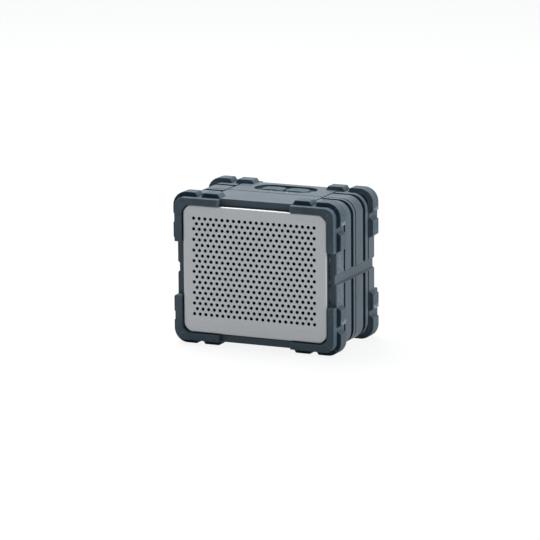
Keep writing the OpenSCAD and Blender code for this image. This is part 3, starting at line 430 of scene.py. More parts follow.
# %% Wear: edges rubbed in broken patches, as a mask
wear, given, result = effect("wear", 220.0, [("Edge", FLOAT, 0.0), ("Amount", FLOAT, 0.5)], "Mask", FLOAT)
patches = noise(wear, given["Vector"], given["Scale"], detail=5.0, roughness=0.65)
on_edge = calculate(wear, "MULTIPLY", given["Edge"], to_range(wear, patches, (0.38, 0.62)))
wear.links.new(calculate(wear, "MULTIPLY", on_edge, given["Amount"], use_clamp=True), result["Mask"])
print("wear:", len(wear.nodes), "nodes")

# %% Marked: painted shade where a piece is sunk, and a light colour in broken patches for scuffs and a painted highlight
PAINTED_SHADE_COLOUR, SCUFF_AND_HIGHLIGHT = (0.0, 0.016, 0.028, 1.0), (0.62, 0.64, 0.66, 1.0)
marked, given, result = effect("marked", 300.0, [
    ("Colour", COLOUR, None), ("Deep", FLOAT, 0.0), ("Dark", FLOAT, 0.6), ("Scuff", FLOAT, 0.0),
    ("Scuff Colour", COLOUR, SCUFF_AND_HIGHLIGHT)], "Colour", COLOUR)
shade_share = calculate(marked, "MULTIPLY", given["Deep"], given["Dark"])
shaded = blend(marked, shade_share, given["Colour"], PAINTED_SHADE_COLOUR)
broken = noise(marked, given["Vector"], given["Scale"], detail=4.0, roughness=0.7)
ragged = to_range(marked, broken, (0.47, 0.53))
scuffed = calculate(marked, "MULTIPLY", ragged, given["Scuff"], use_clamp=True)
marked.links.new(blend(marked, scuffed, shaded, given["Scuff Colour"]), result["Colour"])
print("marked:", len(marked.nodes), "nodes")


# %% A finish from the shared effects
BUMP_DEPTH, ROUGH_SPREAD = 0.0004, 0.08


def use(tree, group, **inputs):
    """Output of a shared effect, placed in a material with its own values."""
    return link_nodes(tree, "ShaderNodeGroup", inputs, node_tree=group).outputs[0]


def new_material(name, constants):
    """Material, its nodes and its shader, with plain values on the shader's own sockets."""
    material = bpy.data.materials.new(name)
    material.use_nodes = True
    shader = material.node_tree.nodes["Principled BSDF"]
    for socket, value in constants.items():
        shader.inputs[socket].default_value = value
    return material, material.node_tree, shader


def finish(name, colour, worn, roughness, tone_scale=25.0, tone_depth=0.15, grain_scale=900.0, bump=0.06,
           wear_scale=220.0, wear_amount=0.5, dark=0.6, stretch=(1.0, 1.0, 1.0), paint=None, constants=None):
    """Material: colour * tone, with painted shade where sunk, light where scuffed or rubbed and where a
    highlight is painted; the grain is bump and gloss.

    constants holds plain values for the shader's own sockets. paint(tree, vector, colour) may lay a
    pattern over the colour and gives back (colour, height).
    """
    material, tree, shader = new_material(name, constants or {})
    where = tree.nodes.new("ShaderNodeTexCoord").outputs["Object"]
    stretched = link_nodes(tree, "ShaderNodeMapping", {"Vector": where, "Scale": stretch}).outputs[0]
    edge, painted_shade, scuff_and_highlight = [link_nodes(tree, "ShaderNodeAttribute", attribute_name=label).outputs["Fac"]
                         for label in ("edge", "painted_shade", "scuff_and_highlight")]
    tones = use(tree, tone, Vector=where, Scale=tone_scale, Depth=tone_depth)
    rub = use(tree, wear, Vector=where, Edge=edge, Scale=wear_scale, Amount=wear_amount)
    height = use(tree, grain, Vector=stretched, Scale=grain_scale)
    rough = to_range(tree, height, UNIT_RANGE, (roughness - ROUGH_SPREAD, roughness + ROUGH_SPREAD))
    toned = blend(tree, 1.0, (*colour, 1.0), tones, "MULTIPLY")
    if paint:
        toned, relief = paint(tree, where, toned)
        height = calculate(tree, "ADD", height, relief)
    rubbed = blend(tree, rub, toned, (*worn, 1.0))
    seen = use(tree, marked, Vector=where, Colour=rubbed, Deep=painted_shade, Dark=dark, Scuff=scuff_and_highlight)
    raised = link_nodes(tree, "ShaderNodeBump", {"Height": height, "Strength": bump, "Distance": BUMP_DEPTH})
    for value, socket in ((seen, "Base Color"), (rough, "Roughness"), (raised.outputs[0], "Normal")):
        tree.links.new(value, shader.inputs[socket])
    return material


CASE_GLOSS = {"Specular IOR Level": 0.32, "Specular Tint": (0.95, 0.98, 1.0, 1.0)}
GUARD_GLOSS = {"Specular IOR Level": 0.08}
case_rubber = finish("case_rubber", (0.066, 0.092, 0.113), (0.2, 0.23, 0.25), 0.5, bump=0.1,
                     wear_amount=0.3, dark=0.75, constants=CASE_GLOSS)
# The guards' edges are worn lighter than the case's: real wear, and a painted highlight for the light lines
# along them.
guard_rubber = finish("guard_rubber", (0.091, 0.124, 0.148), (0.24, 0.27, 0.29), 0.7, bump=0.12,
                      wear_amount=0.45, dark=0.66, constants=GUARD_GLOSS)
grille_paint = finish("grille_paint", (0.65, 0.665, 0.675), (0.7, 0.71, 0.72), 0.4,
                      tone_scale=1500.0, tone_depth=0.06, grain_scale=1800.0, wear_scale=320.0,
                      wear_amount=0.4, dark=0.97, constants={"Metallic": 0.25})
print("first finishes ready")

# %% [markdown]
# ## Case halves
# The case is two moulded halves with a soft skin: plain rims, raised bands between grooves,
# a flat centre panel on the top and the bottom, and a channel along each side. The banded part
# has rounder corners than the rims. All this could be cut from a block with booleans, but here
# each half is one closed grid: the case outline carried along the depth, where every point is
# moved along the outline's normal by a height that depends on its station round the case and on
# its row along the depth.

# %% Sizes of the case
CASE_X, CASE_Z, CASE_R, WALL = 69.4, 58.0, 8.0, 4.4
MID_Z, RIM, SEAM = 61.7, 38.1, -1.2
BAND_RISE, BAND_R, PANEL_HALF = 0.5, 12.0, 42.5
GROOVES_FRONT = [(-23.8, -22.1, 1.2), (-10.4, -5.5, 2.2)]
GROOVES_REAR = [(26.4, 23.4, 1.2), (18.5, 13.6, 2.2)]
BAND_FRONT, BAND_REAR = GROOVES_FRONT[0][0], GROOVES_REAR[0][0]
POCKET_X, POCKET_Z, POCKET_LENGTH, POCKET_DEPTH = 31.3, 21.8, 11.1, 2.1
CHANNEL_RISE, CHANNEL_HALF, CHANNEL_SLOPE, CHANNEL_DEPTH = 0.1, 3.25, 1.2, 1.5
OPENING = (63.1, 52.5, 6.5)
LEDGE_HOLE = (53.5, 42.9, 3.0)
LEDGE_FAR, LEDGE_NEAR = 31.3, 28.3
RIM_ROUND, GROOVE_ROUND = 0.7, 0.28
WINDOW_X, WINDOW_FRONT, WINDOW_REAR, WINDOW_UNDER = 29.0, 3.0, 33.5, 27.0
CORE = np.array([CASE_X - CASE_R, CASE_Z - CASE_R])
print("case without guards:", 2 * CASE_X, "by", 2 * RIM, "by", 2 * CASE_Z, "mm")

# %% Stations round the case, close together where the height changes
near_panel_edge = PANEL_HALF + np.array([-1.2, -0.9, -0.7, -0.55, -0.4, 0.0, 0.4, 0.55, 0.7, 0.9, 1.2])
near_pocket = np.array([-1.2, -0.5, -0.2, -0.06, 0.0, 0.02, 0.6])
near_corner = np.array([27, 33, 39, 46, 47.2, 48.2, 49.1, CORE[1]])
marks_x = np.concatenate([[0, 5, 10, 15, 20, 25, WINDOW_X], POCKET_X + near_pocket, [36, 39],
                          near_panel_edge, [47, 52, 57.4, 58.6, 59.6, 60.5, CORE[0]]])
marks_channel = np.concatenate([np.linspace(0, 2.4, 4), np.linspace(2.8, 6.4, 13), [7.2, 8.6, 11, 14, 17.2]])
marks_upper = np.concatenate([CHANNEL_RISE + marks_channel, POCKET_Z + near_pocket, near_corner])
marks_lower = np.concatenate([CHANNEL_RISE - marks_channel[1:], -POCKET_Z - near_pocket, -near_corner])
stations_x = np.concatenate([-marks_x[:0:-1], marks_x])
stations_z = np.sort(np.concatenate([marks_lower, marks_upper]))
case_loop = Loop(stations_x / CORE[0], stations_z / CORE[1], 10)
on_flat_z, on_side = np.abs(case_loop.normal[:, ::-1].T) > 0.999
station_x, station_z = np.abs(case_loop.core[:, 0]) * CORE[0], case_loop.core[:, 1] * CORE[1]
print("stations round the case:", len(station_x))


# %% Profile along the depth
RIM_FOLD, RIM_ROWS = 1.6, (4.0, RIM - WINDOW_REAR, 10.4, 10.9, 11.08, 11.1, 11.4)
DRAFT, FOOT_ROUND = 0.2, 0.4
SEAM_HALF, SEAM_FOOT, SEAM_DEPTH, SEAM_ROUND = 0.7, 0.64, 0.2, 0.3


def depth_line(side, grooves):
    """Profile (y, height) of a half from rim to seam: grooves with drafted walls, bands, seam step."""
    rim, inward = side * RIM, -side
    line = [(rim, -RIM_FOLD, 0), (rim, 0, RIM_ROUND)]
    line += [(rim + inward * at, 0, 0) for at in RIM_ROWS]
    level = 0.0
    for start, end, depth in grooves:
        line += [(start, level, GROOVE_ROUND), (start + inward * DRAFT, -depth, FOOT_ROUND),
                 (end - inward * DRAFT, -depth, FOOT_ROUND), (end, BAND_RISE, GROOVE_ROUND)]
        level = BAND_RISE
    if side > 0:
        line += [(WINDOW_FRONT, level, 0)]
    line += [(SEAM - inward * SEAM_HALF, level, SEAM_ROUND), (SEAM - inward * SEAM_FOOT, -SEAM_DEPTH, 0),
             (SEAM, -SEAM_DEPTH, 0)]
    line = np.array(line)
    return rounded_line(line[:, :2], line[:, 2])


print("rows of the outside:", [len(depth_line(*half)) for half in ((-1, GROOVES_FRONT), (1, GROOVES_REAR))])

# %% Height of the skin
FAR, HAIR = 99.0, 0.01
SEAM_REACH, CHANNEL_REACH, GROOVE_ENDS = 0.9, 9.0, (4.4, 5.0)
EASED, ROUND_OFF, BESIDE_PANEL, BESIDE_DEPTH = 0.3, 0.12, (0.55, 0.9), 0.3


def ease(value, low, high):
    """0 below low, 1 above high, and a smooth step between: 3 t^2 - 2 t^3."""
    t = np.clip((value - low) / (high - low), 0, 1)
    return t * t * (3 - 2 * t)


def lower_of(a, b):
    """The lower of two heights, with the ridge between them rounded off: a sum of powers of e."""
    return np.minimum(a, b) - ROUND_OFF * np.log1p(np.exp(-np.abs(a - b) / ROUND_OFF))


def corner_drop():
    """How far the rounder corners of the banded part lie below the outline, along each station's normal.

    From a station at p past the middle of the rounder corner, the drop t solves |p - t * normal| = radius.
    """
    facing = np.abs(case_loop.normal)
    past = np.abs(case_loop.at(CASE_X, CASE_Z, CASE_R)) - [CASE_X - BAND_R, CASE_Z - BAND_R]
    along = (past * facing).sum(1)
    drop = along - np.sqrt(np.maximum(along ** 2 - (past ** 2).sum(1) + BAND_R ** 2, 0))
    return np.where(past.min(1) > 0, drop, 0.0)


def skin_height(side, line):
    """Height of the skin at every row and station.

    Bands and grooves give the height, the flat panel replaces them on the top and the bottom,
    a line runs beside the panel, the channel lowers the sides, and the pockets take the guards.
    """
    y, groove = line[:, 0:1], line[:, 1:2]
    rim_drop = np.where(np.abs(y - side * RIM) <= RIM_ROUND + SLIM, groove, 0.0)
    at_seam = np.abs(y - SEAM) < SEAM_REACH
    plain = np.where((y > BAND_FRONT) & (y < BAND_REAR), BAND_RISE, 0.0) + rim_drop
    plain = np.where(at_seam, groove, plain)
    from_channel = np.where(on_side, np.abs(station_z - CHANNEL_RISE), FAR)
    height = groove + (plain - groove) * (1 - ease(from_channel, *GROOVE_ENDS))
    on_panel = np.where(on_flat_z, 1 - ease(station_x, PANEL_HALF - EASED, PANEL_HALF + EASED), 0.0)
    panel = np.where(at_seam, groove, BAND_RISE + rim_drop)
    height = height + (panel - height) * on_panel
    beside = np.where(on_flat_z, 1 - ease(np.abs(station_x - PANEL_HALF), *BESIDE_PANEL), 0.0)
    banded = ease(y, BAND_FRONT, BAND_FRONT + EASED) * (1 - ease(y, BAND_REAR - EASED, BAND_REAR))
    height = height + (np.minimum(height, -BESIDE_DEPTH) - height) * beside * banded - corner_drop() * banded
    channel = np.maximum(from_channel - CHANNEL_HALF, 0) / CHANNEL_SLOPE * CHANNEL_DEPTH - CHANNEL_DEPTH
    height = np.where(from_channel < CHANNEL_REACH, lower_of(height, channel + rim_drop), height)
    in_corner = ~on_flat_z & ~on_side
    in_pocket = np.where(on_flat_z, station_x > POCKET_X + HAIR, np.where(
        on_side, np.abs(station_z) > POCKET_Z + HAIR, in_corner))
    near_rim = np.abs(y - side * RIM) < POCKET_LENGTH - HAIR
    return np.where(in_pocket & near_rim, rim_drop - POCKET_DEPTH, height)


print("largest drop at the rounder corners:", corner_drop().max().round(2), "mm")


# %% One half as a closed grid
GASKET_GROOVE = [(-2.1, SEAM), (-2.1, SEAM + 1.5), (-3.53, SEAM + 1.5), (-3.53, SEAM)]
REAR_WALL, FRONT_WALL = [SEAM, WINDOW_FRONT, WINDOW_UNDER, LEDGE_NEAR], [SEAM, -LEDGE_NEAR]
OPENING_ROUND, OPENING_EDGE = 0.5, 0.8


def case_half(side, grooves):
    """Rows of a half: the outside from rim to seam, the seam face, the inside wall, ledge and opening."""
    line = depth_line(side, grooves)
    outline = case_loop.at(CASE_X, CASE_Z, CASE_R)
    lifted = outline + skin_height(side, line)[..., None] * case_loop.normal
    rows = [facing_y(flat, y) for flat, y in zip(lifted, line[:, 0])]

    def row(y, *size):
        rows.append(facing_y(case_loop.at(*size), y))

    if side > 0:
        for grow, y in GASKET_GROOVE:
            row(y, CASE_X, CASE_Z, CASE_R, grow)
    for y in REAR_WALL if side > 0 else FRONT_WALL:
        row(y, CASE_X, CASE_Z, CASE_R, -WALL)
    row(side * LEDGE_NEAR, *LEDGE_HOLE)
    row(side * LEDGE_FAR, *LEDGE_HOLE)
    row(side * LEDGE_FAR, *OPENING)
    for inset, drop in quarter_round(OPENING_ROUND, 4):
        row(side * (RIM - inset), *OPENING, drop)
    row(side * RIM, *OPENING, OPENING_EDGE)
    surface = np.stack(rows)
    surface[..., 2] += MID_Z
    return surface, len(line)


front_surface, front_rows = case_half(-1, GROOVES_FRONT)
print("rows and stations of the front half:", front_surface.shape[:2], "with", front_rows, "rows outside")

# %% Posts for the screws
SCREW_X, SCREW_NEAR_X, SCREW_Z = 58.3, 50.1, 47.7
CASE_POST_R, LEDGE_POST_R, LEDGE_POST_LENGTH, POST_OVERLAP = 4.6, 3.6, 6.0, 0.4
CASE_SCREWS = [(sx * SCREW_X, sz * SCREW_Z) for sx in (-1, 1) for sz in (-1, 1)]
LEDGE_SCREWS = [(sx * x, z) for sx in (-1, 1)
                for x, z in ((SCREW_X, 0.0), (SCREW_NEAR_X, SCREW_Z), (SCREW_NEAR_X, -SCREW_Z))]


def case_posts(skin, side):
    """Posts of the case screws, from the ledge to the seam, and the short bosses of the ledge screws."""
    ledge = side * (LEDGE_NEAR + POST_OVERLAP)
    for x, z in CASE_SCREWS:
        skin.post((x, z + MID_Z), CASE_POST_R, ledge, SEAM)
    for x, z in LEDGE_SCREWS:
        skin.post((x, z + MID_Z), LEDGE_POST_R, ledge, side * (LEDGE_NEAR - LEDGE_POST_LENGTH))


print("posts in each half:", len(CASE_SCREWS) + len(LEDGE_SCREWS))

# %% Marks of the case: painted shade in its hollows
TOP, CEILING, RECESS_FLOOR = 120.2, 115.3, 117.6
RECESS_X, RECESS_Y, KEY_X = 26.7, 12.0, 10.6
KEY_Y, SWITCH_Y, POST_X = 19.6, 18.2, 32.7
LINE_TOP, GROOVE_FADE, LINE_FADE, SLACK = 0.45, 0.2, 0.3, 0.05
SIDE_FROM, OUTSIDE_FROM, CHANNEL_CLEAR, SEAM_WIDE, BESIDE_WIDE = CASE_X - 3, -2.0, 5.2, 0.8, 1.0
CHANNEL_WIDE, CREASE_AT, CREASE_WIDE = CHANNEL_HALF + 0.6, -CHANNEL_HALF - 0.3, 0.5
RECESS_WIDE, RECESS_FROM, RECESS_TO, BEHIND_KEY = 1.0, CEILING + 0.5, TOP - 0.35, 8.5
FLOOR_TO, RIM_FROM, RIM_TO = RECESS_FLOOR + 0.1, OPENING[0] + 0.7, POCKET_Z + 1
CHANNEL_SHADE, CREASE_SHADOW, RECESS_SHADE, RIM_SHADE = 0.2, 0.6, 0.5, 0.3


def case_height(points):
    """Height over the case outline: the distance to a rounded rectangle seen from the front."""
    over = np.abs(points[:, [0, 2]] - [0, MID_Z]) - CORE
    return np.linalg.norm(np.maximum(over, 0), axis=1) + np.minimum(over.max(axis=1), 0) - CASE_R


def case_painted_shade(points):
    """Painted shade: 1 down in a groove, in the seam, in the lines beside the panels and at the ends of the
    key recess.

    The channel, the painted shadow line along its lower crease, the recess behind the keys and the front of
    the rim get less.
    """
    x, y, z = points.T
    height = case_height(points)
    over_channel = np.where(np.abs(x) > SIDE_FROM, z - MID_Z - CHANNEL_RISE, FAR)
    outside, clear = height > OUTSIDE_FROM, np.abs(over_channel) >= CHANNEL_CLEAR
    value = np.where((np.abs(over_channel) < CHANNEL_WIDE) & outside, CHANNEL_SHADE, 0.0)
    value = np.where((np.abs(over_channel - CREASE_AT) < CREASE_WIDE) & outside, CREASE_SHADOW, value)
    spans = [sorted(groove[:2]) for groove in GROOVES_FRONT + GROOVES_REAR]
    lines = [((y > low - SLACK) & (y < high + SLACK) & clear, GROOVE_FADE) for low, high in spans]
    lines.append(((np.abs(y - SEAM) < SEAM_WIDE) & clear, LINE_FADE))
    banded = (y > BAND_FRONT) & (y < BAND_REAR)
    lines.append(((np.abs(np.abs(x) - PANEL_HALF) < BESIDE_WIDE) & banded, LINE_FADE))
    for inside, fade in lines:
        value = np.where(inside, np.maximum(value, (LINE_TOP - height) / fade), value)
    in_recess = (np.abs(x) < RECESS_X + RECESS_WIDE) & (np.abs(y - KEY_Y) < RECESS_Y + RECESS_WIDE)
    in_recess &= (z > RECESS_FROM) & (z < RECESS_TO)
    paler = (np.abs(np.abs(x) - KEY_X) < BEHIND_KEY) | (z < FLOOR_TO)
    value = np.where(in_recess, np.where(paler, RECESS_SHADE, 1.0), value)
    rim_front = (y < -RIM + SLACK) & (np.abs(x) > RIM_FROM) & (np.abs(z - MID_Z) < RIM_TO)
    return np.where(rim_front, RIM_SHADE, value)


front_share = (case_painted_shade(front_surface.reshape(-1, 3)) > 0).mean()
print("points of the front half with a mark:", round(100 * front_share), "%")

# %% Scuffs and a painted highlight of the front rim, and the front half
RUBBED_EDGE, RUBBED_EDGE_TO = (OPENING[0] - SLACK, OPENING[0] + 0.65), -RIM + 0.6
SIDE_HIGHLIGHT, SIDE_SKIN, SIDE_ROWS = 0.1, CASE_X - 0.3, (-RIM + 1, BAND_FRONT - 0.4)


def rim_scuffs_and_highlight(points):
    """Between the guards: 1 on the inner edge of the front rim at the right, a scuff; a little on its sides,
    a painted highlight.
    """
    x, y, z = points.T
    between = np.abs(z - MID_Z) < POCKET_Z
    on_edge = (x > RUBBED_EDGE[0]) & (x < RUBBED_EDGE[1]) & (y < RUBBED_EDGE_TO)
    off_channel = np.abs(z - MID_Z - CHANNEL_RISE) > CHANNEL_HALF + CHANNEL_SLOPE
    beside = (np.abs(x) > SIDE_SKIN) & (y > SIDE_ROWS[0]) & (y < SIDE_ROWS[1]) & off_channel
    return between * np.maximum(on_edge, SIDE_HIGHLIGHT * beside)


front_half = Skin()
front_half.grid(front_surface, close_rows=True)
case_posts(front_half, -1)
front_half.piece("front_case_half", case_rubber, "case", "case_rubber", "front_shell",
                 marks={"painted_shade": case_painted_shade, "scuff_and_highlight": rim_scuffs_and_highlight})

# %% [markdown]
# ## Rear half and the key recess
# The top of the rear half has a long round-ended recess with two keys in its floor. The grid of
# the half has straight rows there, so a plain rectangular window is left out of it, on the outside
# and on the ceiling below. Flat fills, a wall with rounded edges, the recess floor and the two key
# holes close that window again.

# %% Sizes of the recess
KEY_HALF, KEY_R, KEY_GAP = (9.5, 6.0), 3.0, 0.35
LIGHTS, LIGHT_HOLE = [(-7.0, 6.0), (7.0, 6.0)], 0.85
RECESS_ROUND, FLOOR_ROUND = 0.7, 0.5
KEY_POST_R, KEY_POST_LOW = 3.0, 109.3
recess_loop = Loop(np.linspace(-1, 1, 9), PLAIN_SIDE, 14)
key_loop = Loop(np.linspace(-1, 1, 5), np.linspace(-1, 1, 3), 8)
key_holes = [key_loop.at(*KEY_HALF, KEY_R, KEY_GAP) + [sx * KEY_X, KEY_Y] for sx in (-1, 1)]
light_holes = [circle(place, LIGHT_HOLE, 12) for place in LIGHTS]
print("recess", 2 * RECESS_X, "by", 2 * RECESS_Y, "mm with", len(key_holes), "keys")


# %% Leave out the window
def window_ring(surface, rows, columns):
    """Grid points round a block of rows and columns, in order."""
    (r0, r1), (c0, c1) = rows, columns
    return np.concatenate([surface[r0, c0:c1], surface[r0:r1, c1],
                           surface[r1, c1:c0:-1], surface[r1:r0:-1, c0]])


def nearest(values, wanted):
    """Number of the value that lies nearest to the wanted one."""
    return int(np.argmin(np.abs(values - wanted)))


rear_surface, outside_rows = case_half(1, GROOVES_REAR)
first_inside = outside_rows + len(GASKET_GROOVE)
row_y = rear_surface[:, 0, 1]
columns = [nearest(stations_x, x) for x in (-WINDOW_X, WINDOW_X)]
outer_window = [nearest(row_y[:outside_rows], y) for y in (WINDOW_REAR, WINDOW_FRONT)]
under_window = [first_inside + REAR_WALL.index(y) for y in (WINDOW_FRONT, WINDOW_UNDER)]
keep = np.ones(rear_surface.shape[:2], bool)
for start, end in (outer_window, under_window):
    keep[start:end, columns[0]:columns[1]] = False
rear_half = Skin()
rear_half.grid(rear_surface, close_rows=True, keep=keep)
case_posts(rear_half, 1)
for sx in (-1, 1):
    rear_half.post((sx * POST_X, SWITCH_Y), KEY_POST_R, KEY_POST_LOW, CEILING + POST_OVERLAP, lift=facing_z)
print("quads left out:", int((~keep).sum()))

# %% Close the window again
recess = [(inset, TOP - drop) for inset, drop in quarter_round(RECESS_ROUND, 5)]
recess += [(-drop, RECESS_FLOOR + inset) for inset, drop in quarter_round(FLOOR_ROUND, 4)]
recess_rings = [recess_loop.at(RECESS_X, RECESS_Y, RECESS_Y - HAIR, grow) + [0, KEY_Y] for grow, z in recess]
rear_half.grid(np.stack([facing_z(ring, z) for ring, (grow, z) in zip(recess_rings, recess)]))
for hole in key_holes:
    rear_half.tube(hole, RECESS_FLOOR, CEILING, lift=facing_z)
for hole in light_holes:
    rear_half.tube(hole, TOP, CEILING, lift=facing_z)
outer_ring, under_ring = [window_ring(rear_surface, rows, columns)[:, :2]
                          for rows in (outer_window, under_window)]
rear_half.fill([outer_ring, recess_rings[0]] + light_holes, TOP, lift=facing_z)
rear_half.fill([recess_rings[-1]] + key_holes, RECESS_FLOOR, lift=facing_z)
rear_half.fill([under_ring] + key_holes + light_holes, CEILING, lift=facing_z)
rear_half.piece("rear_case_half", case_rubber, "case", "case_rubber", "rear_shell",
                marks={"painted_shade": case_painted_shade})

# %% [markdown]
# ## Corner guards
# Eight rubber guards wrap the corners. Each has a lip round the edge of the grille or of the
# rear panel, a thin skin in the case and two bumper blocks on each leg with a notch between them.
# A guard is one cross-section carried along an L-shaped path. The block height changes along the
# path, so the section is worked out for all stations at once, with an arc at each corner.

# %% Sizes of a guard
BLOCK_HEIGHT, BLOCK_DEPTH, BLOCK_SLOPE, NOTCH = 3.7, 11.0, 2.4, 2.7
TOP_BLOCKS, SIDE_BLOCKS = (18.4, 16.9), (16.7, 16.7)
LIP_WIDTH, LIP_REACH, LIP_R, SKIN = 5.6, 6.2, 8.6, 2.0
NOTCH_HEIGHT, NOTCH_ROUND, BLOCK_ROUND, LIP_ROUND = 0.1, 0.25, 0.5, 0.5
LIP_INNER_ROUND, FOOT_EDGE, ROUND_SHARE = 0.3, 0.2, 0.42
MOULD_LINE, MOULD_HALF_ANGLE = 0.14, 1.8
END_ROWS, PLAIN_ROWS, CORNER_ROW = np.array([0.06, 0.15, 0.3, 0.5]), (6, 10), 3


def leg_line(corner_block, second_block):
    """One leg as (distance from the corner, block height): second block, notch and corner block."""
    start = corner_block + NOTCH
    end = start + second_block
    line = rounded_line(
        [(end, NOTCH_HEIGHT), (end - BLOCK_SLOPE, BLOCK_HEIGHT), (start + BLOCK_SLOPE, BLOCK_HEIGHT),
         (start, NOTCH_HEIGHT), (corner_block, NOTCH_HEIGHT), (corner_block - BLOCK_SLOPE, BLOCK_HEIGHT),
         (CASE_R, BLOCK_HEIGHT)], [0, BLOCK_ROUND, BLOCK_ROUND, NOTCH_ROUND, NOTCH_ROUND, BLOCK_ROUND, 0])
    more = np.concatenate([end - END_ROWS, [end - at for at in PLAIN_ROWS], [CASE_R + CORNER_ROW]])
    place = np.unique(np.concatenate([line[:, 0], more]))[::-1]
    return place, np.interp(place, line[::-1, 0], line[::-1, 1])


print("stations of the two legs:", [len(leg_line(*blocks)[0]) for blocks in (TOP_BLOCKS, SIDE_BLOCKS)])


# %% Path of a guard
def guard_path():
    """Stations of the L: along the top leg to the corner, round its arc and down the side leg.

    Gives for each station the point on the case outline, the point on the inner edge of the lip, the
    outward normal, the block height, the distance to the end of its leg, and 1 on the mould line.
    """
    half_sides = np.array([CASE_X, CASE_Z])
    inner_corner = half_sides - LIP_WIDTH - LIP_R
    by_mould = np.radians([45 - MOULD_HALF_ANGLE, 45 + MOULD_HALF_ANGLE])
    turn = np.sort(np.concatenate([np.linspace(0, np.pi / 2, 15)[1:-1], by_mould]))
    arc, one = np.stack([np.sin(turn), np.cos(turn)], 1), np.ones_like(turn)
    stretches = [[CORE + CASE_R * arc, inner_corner + LIP_R * arc, arc, BLOCK_HEIGHT * one, FAR * one,
                  np.abs(turn - np.pi / 4) < SLIM]]
    for axis, blocks in ((0, TOP_BLOCKS), (1, SIDE_BLOCKS)):
        place, height = leg_line(*blocks)
        along, across = half_sides[axis] - place, half_sides[1 - axis]
        drawn = along[0] + (along - along[0]) * (inner_corner[axis] - along[0]) / (CORE[axis] - along[0])
        level, facing = np.full_like(place, across), np.tile([0.0, 1.0], (len(place), 1))
        flat = [np.stack([along, level], 1), np.stack([drawn, level - LIP_WIDTH], 1), facing]
        leg = flat + [height, place[0] - place, np.zeros_like(place)]
        if axis == 0:
            stretches.insert(0, leg)
        else:
            stretches.append([(values[:, ::-1] if values.ndim == 2 else values)[::-1] for values in leg])
    return [np.concatenate(values) for values in zip(*stretches)]


outer_line, inner_line, path_normal, path_block, path_from_end, path_mould = guard_path()
print("stations of a guard:", len(path_block))


# %% Section of a guard
LIP_END, BLOCK_END, LIP_FROM, MOULD_TO, LIP_TO = 0.5, 0.3, -0.35, 0.1, 0.25


def guard_sections(blocks, from_end, mould):
    """Section (height over the case, depth from the rim) at each station, drawn in softly at both ends.

    Over the last stretch of a leg the section shrinks as on a quarter circle: size - sqrt(size^2 - left^2).
    """
    corners = np.array([(-LIP_WIDTH, 0), (-LIP_WIDTH, -LIP_REACH), (0, -LIP_REACH), (0, 0), (0, 0),
                        (0, BLOCK_DEPTH), (-SKIN, BLOCK_DEPTH), (-SKIN, 0)], float)
    corners = np.tile(corners, (len(blocks), 1, 1))
    corners[:, 4:6, 0] = blocks[:, None]
    radii = np.array([LIP_INNER_ROUND, LIP_ROUND, LIP_ROUND, FOOT_EDGE, BLOCK_ROUND, BLOCK_ROUND,
                      FOOT_EDGE, FOOT_EDGE])
    radii = np.tile(radii, (len(blocks), 1))
    radii[:, 3:6] = np.minimum(radii[:, 3:6], blocks[:, None] * ROUND_SHARE)
    ring = rounded_ring(corners, radii)
    along = np.roll(ring, -1, axis=1) - np.roll(ring, 1, axis=1)
    inward = unit(np.stack([-along[..., 1], along[..., 0]], -1))
    size = np.where(ring[..., 1] < LIP_FROM, LIP_END, BLOCK_END)
    left = np.clip(size - from_end[:, None], 0, None)
    draw_in = size - np.sqrt(size ** 2 - left ** 2)
    draw_in -= MOULD_LINE * mould[:, None] * (ring[..., 1] < MOULD_TO)
    middle = corners.mean(axis=1, keepdims=True)
    towards = np.where(((middle - ring) * inward).sum(-1).mean() > 0, 1.0, -1.0)
    return ring + towards * inward * draw_in[..., None]


section = guard_sections(path_block, path_from_end, path_mould)
over, depth = section[..., 0:1], section[..., 1:2]
plain = outer_line[:, None] + over * path_normal[:, None]
lip = outer_line[:, None] - over / LIP_WIDTH * (inner_line - outer_line)[:, None]
guard_surface = facing_y(np.where((over < 0) & (depth < LIP_TO), lip, plain), depth[..., 0] - RIM)
print("stations and section points of a guard:", guard_surface.shape[:2])

# %% Marks of a guard
ON_BLOCK, ON_TOP, ON_LIP, CLEAR_OF_EDGE, NOTCH_EDGE_WIDTH = 0.12, 1.5, 0.1, 0.4, 0.45
MOULD_LINE_LIGHT, NOTCH_EDGE_LIGHT = 0.45, 0.6


def block_fronts(points):
    """1 on the front faces of the bumper blocks: painted shade for the shade of the lip."""
    return (np.abs(np.abs(points[:, 1]) - RIM) < SLACK) & (case_height(points) > ON_BLOCK)


def guard_light_lines(points):
    """Lighter along the mould line, and on the lower edge of the block over each side notch."""
    x, y, z = np.abs(points[:, 0]), np.abs(points[:, 1]), points[:, 2] - MID_Z
    past_x, past_z = x - CORE[0], np.abs(z) - CORE[1]
    line = (np.abs(past_x - past_z) < SLACK) & (past_x > 0) & (y > RIM - ON_LIP)
    over_notch = CASE_Z - SIDE_BLOCKS[0] + BLOCK_SLOPE, NOTCH + BLOCK_SLOPE + SIDE_BLOCKS[0] - CASE_Z
    level = np.min([np.abs(z - edge) for edge in over_notch], axis=0)
    behind = RIM - y
    on_top = (x > CASE_X + ON_TOP) & (behind > CLEAR_OF_EDGE) & (behind < BLOCK_DEPTH - CLEAR_OF_EDGE)
    return np.maximum(MOULD_LINE_LIGHT * line, NOTCH_EDGE_LIGHT * (on_top & (level < NOTCH_EDGE_WIDTH)))


guard_points = guard_surface.reshape(-1, 3) + [0, 0, MID_Z]
mark_counts = [int((rule(guard_points) > 0).sum()) for rule in (block_fronts, guard_light_lines)]
print("points of a guard in shade and rubbed:", mark_counts)

